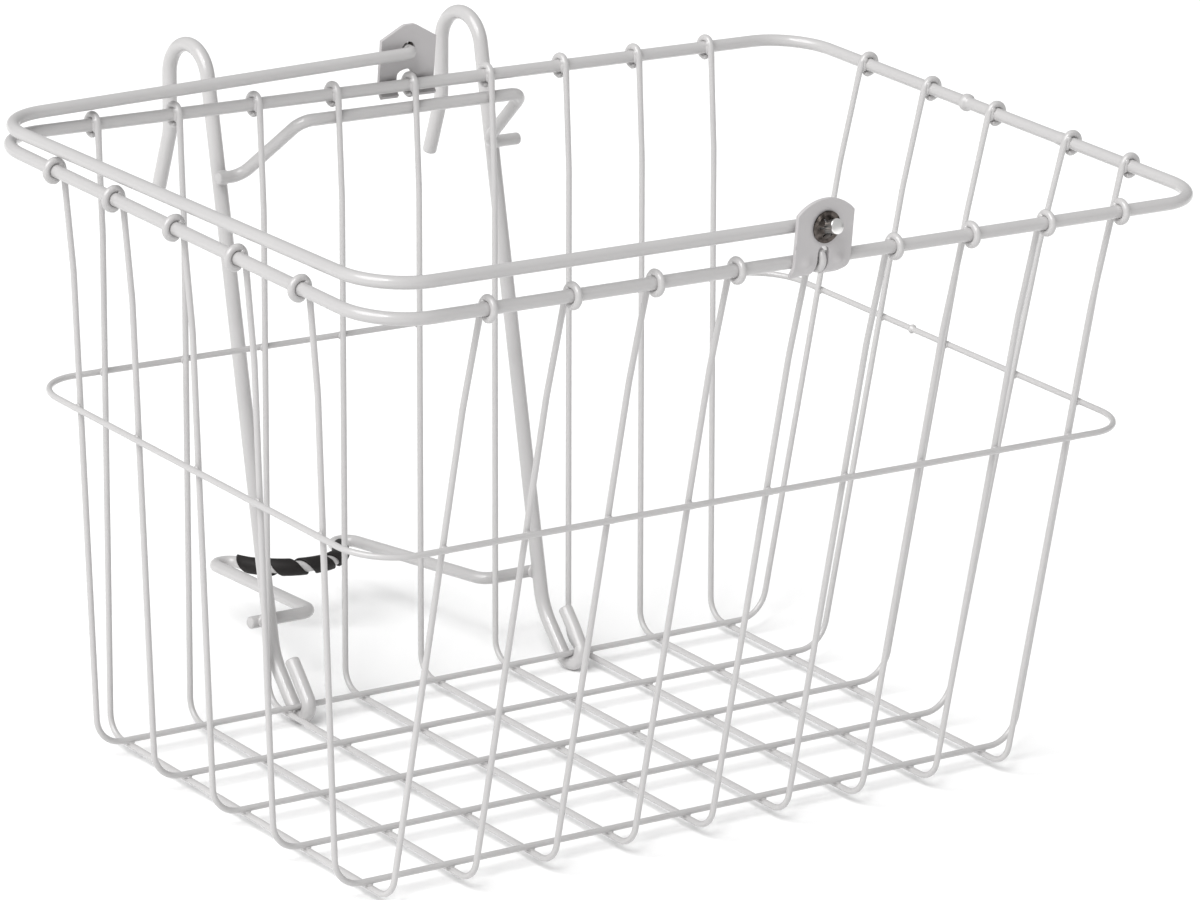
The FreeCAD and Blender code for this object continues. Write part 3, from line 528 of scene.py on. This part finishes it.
def rings():
    """Rim and hoop: the gauge swells where each wire is welded on, and in a collar
    where the ring's own ends were butt-welded. Each swell falls off from its weld
    as exp(-(distance / width) ** power)."""
    for node, half, corner, level, gauge, butt_y, collar, sides in RINGS:
        flat = ring_path(half[0], half[1], corner)
        loop = np.r_[flat, flat[:1]]
        run = distance_from_ends(loop)[0]
        fine = np.linspace(0, run[-1], 4000, endpoint=False)
        away = np.linalg.norm(resample(loop, fine)[None] - weld_spots(half, butt_y)[:, None], axis=2)
        where = fine[np.argmin(away, axis=1)]
        extra = (where[:, None] + np.linspace(-WELD_REACH, WELD_REACH, 19)).ravel() % run[-1]
        keep = run[:-1][np.min(np.abs(run[:-1, None] - where), axis=1) > WELD_CLEAR]
        stops = np.unique(np.round(np.concatenate([keep, extra]), 4))
        path = resample(loop, stops)
        path = np.stack([path[:, 0], path[:, 1] + MIDDLE_Y, np.full(len(path), level)], 1)
        gap = np.abs(stops[:, None] - where)
        gap = np.minimum(gap, run[-1] - gap)
        pooled = 0.09 * gauge * np.exp(-(gap[:, :-1] / (0.9 * gauge)) ** 2).sum(1)
        butt = gap[:, -1]
        uneven = 1 + 0.12 * np.sin(7 * butt)
        swell = gauge + pooled + collar * np.exp(-(butt / (0.62 * gauge)) ** 4) * uneven
        points, faces = tube_surface(path, swell, (0, 0, 1), sides, closed=True)
        piece = mesh_piece(node + "_drawn", points, faces, "basket", WIRE_COAT)
        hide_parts(node)


# ---------------------------------------------------------------- hangers and braces

BAR = {"lean": math.radians(17), "close": math.radians(6), "slope": math.radians(45)}
HANGER_BACK, HOOK_RADIUS, HOOK_RISE = 38.5, 13.1, 9.3
HOOK_LEG, HOOK_FLARE, HOOK_TIP, HOOK_BEND = 20.0, math.radians(13), 22.0, 14.0
FOOT_BEND, FOOT_SLACK, FOOT_TIP = 28.0, 0.3, 17.2


def hanger_path():
    """Side view (y from the basket's middle, z from its base): flared tip, hook,
    long leg, foot sloping in, a tight turn round the base wire, and a stub."""
    lean, close, slope = BAR["lean"], BAR["close"], BAR["slope"]
    level = RIM_UP + HOOK_RISE - HOOK_RADIUS
    middle = (RIM_HALF[1] + HANGER_BACK - (HOOK_RADIUS - HOOK_RISE) * math.tan(lean)
              + HOOK_RADIUS / math.cos(lean))
    crook = WALL_RAD + FOOT_SLACK + HANGER_RAD
    rear_wire = LONG_AT[1] - LONG_AT[3]
    crook_y = rear_wire + FOOT_SLACK * math.cos(slope) + crook * math.sin(slope)
    crook_z = 3 * WALL_RAD + FOOT_SLACK * math.sin(slope) - crook * math.cos(slope)
    leg_y = RIM_HALF[1] + HANGER_BACK + (crook_z - RIM_UP) * math.tan(lean)
    foot_turn = QUARTER - lean - slope
    run = (leg_y - crook_y) / (math.cos(slope) - math.sin(slope) * math.tan(lean))
    foot_trim = FOOT_BEND * math.tan(foot_turn / 2)
    bottom, top = crook_z + run * math.sin(slope), level + HOOK_RADIUS * math.sin(lean)
    leg = (top - bottom) / math.cos(lean) - foot_trim
    trim = HOOK_BEND * math.tan((HOOK_FLARE + close) / 2)
    knee_y = middle + HOOK_RADIUS * math.cos(close) - (HOOK_LEG + trim) * math.sin(close)
    knee_z = level - HOOK_RADIUS * math.sin(close) - (HOOK_LEG + trim) * math.cos(close)
    tip = HOOK_TIP + trim
    start = (knee_y + tip * math.sin(HOOK_FLARE), knee_z - tip * math.cos(HOOK_FLARE))
    moves = [(QUARTER + HOOK_FLARE, HOOK_TIP), (HOOK_BEND, -(HOOK_FLARE + close), "arc"),
             (QUARTER - close, HOOK_LEG), (HOOK_RADIUS, math.pi + close - lean, "arc"),
             (3 * QUARTER - lean, leg), (FOOT_BEND, -foot_turn, "arc"),
             (math.pi + slope, run - foot_trim), (crook, -math.pi, "arc"), (slope, FOOT_TIP)]
    return trace(start, moves)


SHEARED, SHEARED_SIZE = [0, 0.15, 0.5, 0.9], [0.86, 0.93, 0.985, 1.0]
STUB_SHIFT = {"left": 1.4, "right": 3.4}
STUB_RUN, STUB_EASE = FOOT_TIP + 14, 16


def cut_end(path, radius):
    """Radius along a wire whose ends are sheared flat with a slightly rounded edge."""
    near = np.minimum(*distance_from_ends(path))
    return radius * np.interp(near, SHEARED, SHEARED_SIZE)


def hangers():
    """Both hangers; their feet's stubs have sprung a little sideways."""
    flat = hanger_path()
    run = distance_from_ends(flat)[1]
    for side, shift in STUB_SHIFT.items():
        across = shift * np.clip((STUB_RUN - run) / STUB_EASE, 0, 1)
        path = np.stack([HANGER_AT[side] + across, flat[:, 0] + MIDDLE_Y, flat[:, 1] + BASE], 1)
        path = lengthen(path, SHEARED)
        points, faces = tube_surface(path, cut_end(path, HANGER_RAD), (1, 0, 0), 20)
        piece = mesh_piece("hanger_%s_drawn" % side, points, faces, "basket", WIRE_COAT)
        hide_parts("hanger_wire_" + side)


TOP = {"drop": 8.6, "reach": 35.0, "left": 50.5, "right": 53.5, "end_left": 60.0,
       "end_right": 54.5, "half": 70.5, "bend": 6.5}


def upper_brace_path():
    """In its own tilted plane: end, back corner, arm, front corner, long front run,
    and the same again the other way."""
    lean, top = BAR["lean"], wall_shape(CROSS)[1]
    side = RIM_HALF[1] - TOP["drop"] * math.tan(top) + (BRACE_RAD - RIM_RAD) / math.cos(top)
    rear = (RIM_HALF[1] + HANGER_BACK - TOP["reach"] * math.tan(lean)
            - (HANGER_RAD + BRACE_RAD) / math.cos(lean))
    tilt = math.atan((TOP["reach"] - TOP["drop"]) / (rear - side))
    deep = (TOP["reach"] - TOP["drop"]) / math.sin(tilt)
    left = math.atan((TOP["end_left"] - TOP["left"]) / deep)
    right = math.atan((TOP["end_right"] - TOP["right"]) / deep)
    bend = TOP["bend"]
    trim_left, trim_right = bend * math.tan((QUARTER - left) / 2), bend * math.tan((QUARTER - right) / 2)
    front = TOP["left"] + TOP["right"] - trim_left - trim_right
    moves = [(0, TOP["half"] - TOP["end_left"] - trim_left), (bend, left - QUARTER, "arc"),
             (left - QUARTER, deep / math.cos(left) - 2 * trim_left), (bend, QUARTER - left, "arc"),
             (0, front), (bend, QUARTER - right, "arc"),
             (QUARTER - right, deep / math.cos(right) - 2 * trim_right), (bend, right - QUARTER, "arc"),
             (0, TOP["half"] - TOP["end_right"] - trim_right)]
    flat = trace((-TOP["half"], deep), moves)
    back, up = (0, math.cos(tilt), -math.sin(tilt)), (0, math.sin(tilt), math.cos(tilt))
    return place(flat, back, (0, MIDDLE_Y + side, RIM_LEVEL - TOP["drop"])), up


LOW = {"height": box_mm("lower_brace_wire")[1][2] - BRACE_RAD - BASE, "tilt": math.radians(5.7),
       "shift": -2.0, "left": 70.0, "right": 65.0, "bend": 6.0, "arm": 70.5,
       "splay": math.radians(5.4), "horn": 5.2, "saddle": 23.5, "flank": math.radians(10), "step": 0.4}


def lower_brace_path():
    """End, arm back, tight horn, saddle hollow towards the head tube, horn, arm, end.
    Like the upper brace's, it also gives the way up of the plane it lies in."""
    lean, splay, flank = BAR["lean"], LOW["splay"], LOW["flank"]
    side = (RIM_HALF[1] + HANGER_BACK + (LOW["height"] - RIM_UP) * math.tan(lean)
            + (HANGER_RAD + BRACE_RAD) / math.cos(lean))
    horn = (LOW["saddle"] * math.cos(flank) + LOW["horn"] * (math.cos(flank) + math.cos(splay))
            + LOW["step"] * math.sin(flank))
    knee = horn + LOW["arm"] * math.sin(splay) + LOW["bend"] * math.cos(splay)
    horn_arc = (LOW["horn"], -(math.pi - splay - flank), "arc")
    moves = [(0, LOW["left"] - knee), (LOW["bend"], QUARTER - splay, "arc"), (QUARTER - splay, LOW["arm"]),
             horn_arc, (flank - QUARTER, LOW["step"]), (LOW["saddle"], math.pi - 2 * flank, "arc"),
             (QUARTER - flank, LOW["step"]), horn_arc, (splay - QUARTER, LOW["arm"]),
             (LOW["bend"], QUARTER - splay, "arc"), (0, LOW["right"] - knee)]
    flat = trace((-LOW["left"], 0), moves, fine=4)
    tilt = LOW["tilt"]
    back, up = (0, math.cos(tilt), -math.sin(tilt)), (0, math.sin(tilt), math.cos(tilt))
    return place(flat, back, (LOW["shift"], MIDDLE_Y + side, BASE + LOW["height"])), up


def braces():
    """Both cross pieces of the hanger frame."""
    for node, maker in (("upper_brace_wire", upper_brace_path), ("lower_brace_wire", lower_brace_path)):
        path, up = maker()
        path = lengthen(path, SHEARED)
        points, faces = tube_surface(path, cut_end(path, BRACE_RAD), up, 18)
        piece = mesh_piece(node + "_drawn", points, faces, "basket", WIRE_COAT)
        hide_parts(node)


def wound_strip():
    """A strip wound on the saddle: at turn t its middle has moved one pitch per turn
    along the wire, and its section is a thin rounded rectangle standing on the wire.
    Its last part turn lifts off as a curled tail."""
    path, up = lower_brace_path()
    run = distance_from_ends(path)[0]
    saddle = run[-1] / 2 + 0.5 * (LOW["left"] - LOW["right"])
    wide, pitch, thick = 10.2, 13.6, 1.05
    first, last = saddle - 28.7, saddle + 33.0
    turns = (last - first) / pitch
    t = np.linspace(0, turns, int(turns * 40))
    half = wide / 2
    edge = np.array([(-half, 0), (-half, 0.75), (-half + 0.5, 1), (-half / 3, 1.0), (half / 3, 1.0),
                     (half - 0.5, 1), (half, 0.75), (half, 0), (half / 3, 0), (-half / 3, 0)])
    along = first + t[:, None] * pitch + edge[None, :, 0]
    lift = 3.0 * np.clip((t - turns + 0.32) / 0.32, 0, 1) ** 1.6
    rise = BRACE_RAD + 0.03 + edge[None, :, 1] * thick + lift[:, None]
    middle = resample(path, along)
    ahead = resample(path, along + 0.4) - resample(path, along - 0.4)
    ahead /= np.linalg.norm(ahead, axis=-1)[..., None]
    side = np.cross(np.array(up)[None, None, :], ahead)
    angle = 2 * math.pi * t[:, None] + math.radians(97)
    points = (middle + side * (np.cos(angle) * rise)[..., None]
              + np.cross(ahead, side) * (np.sin(angle) * rise)[..., None])
    count, sides = points.shape[:2]
    ends = points[[0, -1]].mean(1)
    points = np.concatenate([points.reshape(-1, 3), ends])
    faces = [grid_faces(count, sides), fan(0, sides, count * sides)[:, ::-1],
             fan((count - 1) * sides, sides, count * sides + 1)]
    piece = mesh_piece("pad_strip", points, faces, "basket", STRIP)
    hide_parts("pad_wrap")


# ---------------------------------------------------------------- bail

PIVOT_BEND, PIVOT_STICK, PIVOT_RISE, PIVOT_LIFT = 3.2, 6.4, 12.7, math.radians(17)
BRACKET_SHEET, NUT_PLAY, RIM_SINK = 1.5, 0.15, 0.15
BAIL_REST, BAIL_TWIST, BAIL_SIDES = math.radians(0.9), 2.7, 32
PIVOT_RINGS = [0, 0.15, 0.4, 0.8, 1.3, 1.8, 2.3, 2.8, 3.3, 3.8, 4.3, 4.8, 5.3, 5.8, 6.4]
GROOVE_DEPTH, GROOVE_WIDTH = 0.4, 0.17


def bail_path():
    """Pivot, front leg, closed end, rear leg, pivot. The closed end is twisted, so its
    level is also -twist * x * y, and each pivot tips up outside its bracket."""
    half_wide = RIM_HALF[1] + RIM_RAD - RIM_SINK - PIVOT_BEND
    pivot = PIVOT_STICK + BRACKET_SHEET + NUT_PLAY
    leg = RIM_HALF[0] - PIVOT_BEND - RIM_CORNER
    elbow, corner = (PIVOT_BEND, QUARTER, "arc"), (RIM_CORNER, -QUARTER, "arc")
    moves = [(QUARTER, pivot), elbow, (math.pi, leg), corner, (QUARTER, 2 * (half_wide - RIM_CORNER)),
             corner, (0, leg), elbow, (QUARTER, pivot)]
    flat = trace((0, -(half_wide + PIVOT_BEND + pivot)), moves)
    flat[0, 0] = 0
    sag = BAIL_TWIST * flat[:, 0] / RIM_HALF[0] * flat[:, 1] / RIM_HALF[1]
    path = np.stack([flat[:, 0] * math.cos(BAIL_REST), flat[:, 1] + MIDDLE_Y,
                     RIM_LEVEL + PIVOT_RISE + flat[:, 0] * math.sin(BAIL_REST) + sag], 1)
    path = lengthen(path, PIVOT_RINGS)
    near = np.minimum(*distance_from_ends(path))
    path[:, 2] += math.tan(PIVOT_LIFT) * np.maximum(PIVOT_STICK - 0.4 - near, 0)
    return path, near


def bail():
    """A U of rim-gauge wire; its ends turn out through the brackets, where the push
    nuts have scraped the coat off and scored a groove along each side."""
    path, near = bail_path()
    radius = RIM_RAD * np.interp(near, [0, 0.15, 0.4, 0.8, 1.8, 3.3, 4.8, 5.6],
                                 [1.1, 1.17, 1.2, 1.17, 1.08, 1.02, 0.99, 1.0])
    points, faces = tube_surface(path, radius, (0, 0, 1), BAIL_SIDES)
    points[-2:] += (path[[1, -2]] - path[[0, -1]]) * 3
    groove = GROOVE_DEPTH * np.interp(near, [0, 0.3, 0.8, 5.0, 5.6], [0.1, 0.3, 1.0, 1.0, 0.0])
    angle = np.linspace(0, 2 * math.pi, BAIL_SIDES, endpoint=False)
    notch = np.exp(-(np.sin(angle) / GROOVE_WIDTH) ** 2)
    skin = points[:BAIL_SIDES * len(path)].reshape(len(path), BAIL_SIDES, 3)
    skin += (path[:, None, :] - skin) * (groove[:, None] * notch[None, :])[..., None]
    points[:BAIL_SIDES * len(path)] = skin.reshape(-1, 3)
    piece = mesh_piece("bail_drawn", points, faces, "bail", BAIL_COAT)
    bare = np.interp(near, [0, 5.2, 5.6], [1.0, 1.0, 0.0])
    values = np.concatenate([np.repeat(bare, BAIL_SIDES), [1, 1]]).astype(np.float32)
    mask = piece.data.attributes.new("bare", "FLOAT", "POINT")
    mask.data.foreach_set("value", values)
    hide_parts("bail_handle")


# ---------------------------------------------------------------- welds

FILLET_REACH = 2.95


def weld_beads():
    """Pooled coat and weld metal wherever wires cross or touch. A place is given as
    beside, out and level: beside runs along that wall, and out away from the middle."""
    parts = []

    def put(short_way, beside, out, level, sizes):
        wide, deep, tall = sizes
        if short_way:
            parts.append(bead((beside, MIDDLE_Y + out, level), np.eye(3), (wide, deep, tall)))
        else:
            parts.append(bead((out, beside, level), np.eye(3), (deep, wide, tall)))

    for kind, spots, short_way in ((CROSS, CROSS_AT, True), (LONG, LONG_AT, False)):
        lean, top = wall_shape(kind)[:2]
        hoop_up = HOOP_LEVEL - BASE
        hoop_out = kind["base"] + (hoop_up - kind["level"]) * math.tan(lean) + WALL_RAD
        for number, spot in spots.items():
            for hand in (-1, 1):
                drifts = not short_way and hand > 0
                drift = DRIFT.get("long_wire_%d" % number, 0) if drifts else 0
                put(short_way, spot + drift, hand * (kind["half"] - RIM_RAD * math.cos(top)),
                    RIM_LEVEL + RIM_RAD * math.sin(top), (1.9, 1.5, 3.1))
                put(short_way, spot + drift, hand * (kind["half"] - 0.74 * FILLET_REACH),
                    RIM_LEVEL + 0.67 * FILLET_REACH, (2.0, 1.55, 1.55))
                put(short_way, spot + drift * (hoop_up / RIM_UP) ** 1.5, hand * hoop_out,
                    HOOP_LEVEL, (1.5, 0.75, 1.5))
    for x in CROSS_AT.values():
        for y in LONG_AT.values():
            parts.append(bead((x, y, BASE + 2 * WALL_RAD), np.eye(3), (1.45, 1.45, 0.7)))
    points, faces = join_surfaces(parts)
    mesh_piece("wire_welds", points, faces, "basket", WIRE_COAT)


def frame_welds():
    """Larger fillets where the braces meet the hangers, turned with the hangers' lean."""
    parts = []
    cos, sin = math.cos(BAR["lean"]), math.sin(BAR["lean"])
    axes = np.array([[1, 0, 0], [0, cos, -sin], [0, sin, cos]])
    upper, lower = upper_brace_path()[0], lower_brace_path()[0]
    for x in HANGER_AT.values():
        for path, hand in ((upper, 1), (lower, -1)):
            end = path[np.argmin(np.abs(path[:, 0] - x))]
            contact = (x, end[1] + hand * BRACE_RAD * cos, end[2] - hand * BRACE_RAD * sin)
            parts.append(bead(contact, axes, (3.4, 1.3, 3.0), 7, 16))
    points, faces = join_surfaces(parts)
    mesh_piece("frame_welds", points, faces, "basket", WIRE_COAT)


wall_wires()
rings()
hangers()
braces()
wound_strip()
bail()
weld_beads()
frame_welds()

# ---------------------------------------------------------------- brackets

BRACKET_HALF, BRACKET_HEAD, BRACKET_ARC = 12.7, 10.2, 17.9
CHAMFER_FLAT, CHAMFER_DROP = 2.5, 5.4
SLOT_TOP, SLOT_ARCH, HEAD_LOW = 5.6, 2.4, 6.6
CLENCH_START, CLENCH_RADIUS, CLENCH_DRAW = 0.8, 7.5, 0.93
SWELL_RISE, SWELL_AT, SWELL_WIDE, SWELL_TALL = 1.25, 7.2, 1.8, 2.0
EDGE_BEVEL, EDGE_ANGLE = 0.22, math.radians(50)


def top_edge(x, chamfered):
    """Height of a bracket's top edge: a flat with two chamfers, or one wide arc."""
    top = PIVOT_RISE + BRACKET_HEAD
    if chamfered:
        return top - np.interp(np.abs(x), [0, CHAMFER_FLAT, BRACKET_HALF], [0, 0, CHAMFER_DROP])
    return top - BRACKET_ARC + np.sqrt(BRACKET_ARC ** 2 - x ** 2)


def bracket_head(columns, chamfered, hole, lift):
    """Rings of points spread from the round hole to the outline, which runs from the
    left end of the line where the head meets the skirt, anticlockwise."""
    half, count = BRACKET_HALF, len(columns)
    side = np.linspace(HEAD_LOW, top_edge(np.array(half), chamfered), 8)[1:]
    crown = np.linspace(half, -half, 25)[1:-1]
    outline = np.concatenate([
        np.stack([columns, np.full(count, HEAD_LOW)], 1),
        np.stack([np.full(len(side), half), side], 1),
        np.stack([crown, top_edge(crown, chamfered)], 1),
        np.stack([np.full(len(side), -half), side[::-1]], 1)])
    away = outline - (0, PIVOT_RISE + lift)
    circle = outline - away + hole * away / np.linalg.norm(away, axis=1)[:, None]
    shares = np.array([0, 0.12, 0.35, 0.65, 1.0])[:, None, None]
    rings = circle * (1 - shares) + outline * shares
    last_ring = (len(shares) - 1) * len(outline) + np.arange(count)
    return rings.reshape(-1, 2), grid_faces(len(shares), len(outline)), last_ring


def bracket_skirt(columns, low_slot, high_slot, reach):
    """Rows of points down the skirt; the columns beside the slot follow its round top."""
    half = BRACKET_HALF
    arch = np.array([1.0, 0.92, 0.7, 0.35, 0.0])
    slot_rows = SLOT_TOP - SLOT_ARCH * (1 - arch)
    rows = np.concatenate([slot_rows, np.linspace(slot_rows[-1], -reach, 22)[1:]])
    share = np.concatenate([np.sqrt(1 - arch ** 2), np.ones(21)])[:, None]
    low_edge, high_edge = low_slot * share, high_slot * share
    left = (columns + low_slot) * (half - low_edge) / (half - low_slot) - low_edge
    right = (columns - high_slot) * (half - high_edge) / (half - high_slot) + high_edge
    x = np.where(columns < -1e-9, left, np.where(columns > 1e-9, right, columns))
    return np.stack([x, np.broadcast_to(rows[:, None], x.shape)], -1)


def clenched(flat, hand, corner):
    """The flat blank carried round the rim. Below the start of the clench, a point's
    distance down becomes a turn t about the rim: depth r (1 - cos t), level -r sin t.
    One lower corner flares out, the other is clipped, and two swells stand proud.
    hand is 1 for the front bracket, whose outer face looks to -y."""
    x, level = flat[:, 0], flat[:, 1]
    down = CLENCH_DRAW * np.maximum(CLENCH_START - level, 0)
    turn = down / CLENCH_RADIUS
    flare = corner * np.clip((-x - 7.0) / 5.7, 0, 1) * np.clip(down / 9, 0, 1) ** 1.5
    turn = turn * (1 - 0.35 * flare)
    clip = corner * np.clip((x - 9.0) / 3.7, 0, 1) ** 2 * np.clip(down / 8.7, 0, 1) ** 2
    straight = level > CLENCH_START
    z = np.where(straight, level, CLENCH_START - CLENCH_RADIUS * np.sin(turn)) + 0.6 * clip - 0.9 * flare
    y = CLENCH_RADIUS * (1 - np.cos(turn)) + 0.8 * clip
    slope = np.where(straight, 0, turn)
    swell = SWELL_RISE * np.exp(-((np.abs(x) - SWELL_AT) / SWELL_WIDE) ** 2
                                - ((z + 0.3) / SWELL_TALL) ** 2)
    out = np.stack([np.zeros(len(x)), -hand * np.cos(slope), -np.sin(slope)], 1)
    face_y = MIDDLE_Y - hand * (RIM_HALF[1] + RIM_RAD + BRACKET_SHEET)
    outer = np.stack([x, face_y + hand * y, RIM_LEVEL + z], 1) + out * swell[:, None]
    return np.concatenate([outer, outer - out * BRACKET_SHEET])


def free_edges(faces):
    """Directed edges that no face uses the other way round, each of them once."""
    pairs = np.concatenate([np.stack([group[:, k], group[:, (k + 1) % group.shape[1]]], 1)
                            for group in faces for k in range(group.shape[1])])
    size = pairs.max() + 1
    once = np.sort(np.unique(pairs @ [size, 1], return_index=True)[1])
    pairs = pairs[once]
    return pairs[~np.isin(pairs @ [1, size], pairs @ [size, 1])]


def bracket(node, hand, low_slot, high_slot, hole, lift, chamfered, corner, reach):
    """A sheet bracket: a head round the hole, and a skirt split by the slot. Both
    faces are the same grid, one sheet thickness apart, stitched round every free edge."""
    columns = np.unique(np.concatenate([np.linspace(-BRACKET_HALF, -low_slot, 9), [0],
                                        np.linspace(high_slot, BRACKET_HALF, 9)]))
    middle, count = int(np.argmin(np.abs(columns))), len(columns)
    head, head_faces, meeting = bracket_head(columns, chamfered, hole, lift)
    skirt = bracket_skirt(columns, low_slot, high_slot, reach)
    index = len(head) + np.arange(len(skirt) * count).reshape(-1, count)
    index = np.concatenate([meeting[None], index])
    cells = np.stack([index[:-1, :-1], index[1:, :-1], index[1:, 1:], index[:-1, 1:]], -1)
    keep = np.ones(cells.shape[:2], bool)
    keep[1:, middle - 1:middle + 1] = False
    slot_corners = np.array([[index[1, middle - 1], index[2, middle - 1], index[1, middle]],
                             [index[1, middle], index[2, middle + 1], index[1, middle + 1]]])
    points = clenched(np.concatenate([head, skirt.reshape(-1, 2)]), hand, corner)
    total = len(points) // 2
    outer = [np.concatenate([head_faces, cells[keep]]), slot_corners]
    rim = free_edges(outer)
    faces = outer + [group[:, ::-1] + total for group in outer]
    faces.append(np.stack([rim[:, 1], rim[:, 0], rim[:, 0] + total, rim[:, 1] + total], 1))
    piece = mesh_piece(node + "_pressed", points, faces, "basket", SHEET_COAT)
    bevel = piece.modifiers.new("edge", "BEVEL")
    bevel.width, bevel.segments = EDGE_BEVEL * MM, 2
    bevel.limit_method, bevel.angle_limit = "ANGLE", EDGE_ANGLE
    piece.data.set_sharp_from_angle(angle=EDGE_ANGLE)
    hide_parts(node)


def push_nuts():
    """The push nuts keep their CAD shape and get the blued steel."""
    for node in ("push_nut_front", "push_nut_rear"):
        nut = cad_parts[node]
        nut.data.materials.clear()
        nut.data.materials.append(SPRING)


bracket("bail_bracket_front", 1, 2.4, 2.6, 2.75, 0.0, False, 1, 9.6)
bracket("bail_bracket_rear", -1, 4.6, 2.4, 3.0, 0.45, True, 0, 6.4)
push_nuts()


# ---------------------------------------------------------------- floor, light, camera

FLOOR_HALF, WORLD_LIGHT = 6.0, 0.5
# name, aim, spread in degrees, strength
SUNS = (("key", (0.76, 0.14, -0.76), 50, 2.75), ("glint", (0.55, 0.45, -0.8), 9, 0.3))
EYE = (-1.3746, -1.898956, 0.635843)
RIGHT = (0.79345821, -0.6043787, 0.07176665)
UP = (0.13700378, 0.29225419, 0.94647633)
BACK = (-0.59300425, -0.74115712, 0.31469365)


def studio():
    """A pale floor under the lowest wire, an even white surround, a broad soft key
    light and a small one for the glints."""
    low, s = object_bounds()[0][2], FLOOR_HALF
    mesh = bpy.data.meshes.new("floor")
    mesh.from_pydata([(-s, -s, low), (s, -s, low), (s, s, low), (-s, s, low)], [], [(0, 1, 2, 3)])
    floor = bpy.data.objects.new("floor", mesh)
    bpy.context.scene.collection.objects.link(floor)
    material, _, shader = node_material("pale_floor")
    shader.inputs["Base Color"].default_value = (0.99, 0.99, 0.99, 1)
    shader.inputs["Roughness"].default_value = 0.9
    mesh.materials.append(material)
    floor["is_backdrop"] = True
    world = bpy.data.worlds.new("studio")
    world.use_nodes = True
    surround = world.node_tree.nodes["Background"]
    surround.inputs["Color"].default_value = (1, 1, 1, 1)
    surround.inputs["Strength"].default_value = WORLD_LIGHT
    bpy.context.scene.world = world
    for name, aim, spread, strength in SUNS:
        light = bpy.data.lights.new(name, "SUN")
        light.angle, light.energy = math.radians(spread), strength
        lamp = bpy.data.objects.new(name, light)
        bpy.context.scene.collection.objects.link(lamp)
        lamp.rotation_mode = "QUATERNION"
        lamp.rotation_quaternion = Vector(aim).to_track_quat("-Z", "Y")


def camera():
    """A long lens in front, to the left and above; the matrix's columns are the
    camera's right, up and back, and its place."""
    data = bpy.data.cameras.new("camera")
    data.sensor_width, data.lens = 36, 188.77
    data.clip_start, data.clip_end = 0.1, 50
    eye = bpy.data.objects.new("camera", data)
    bpy.context.scene.collection.objects.link(eye)
    eye.matrix_world = Matrix([*zip(RIGHT, UP, BACK, EYE), (0, 0, 0, 1)])
    bpy.context.scene.camera = eye


studio()
camera()
bpy.context.scene.view_settings.view_transform = "Standard"
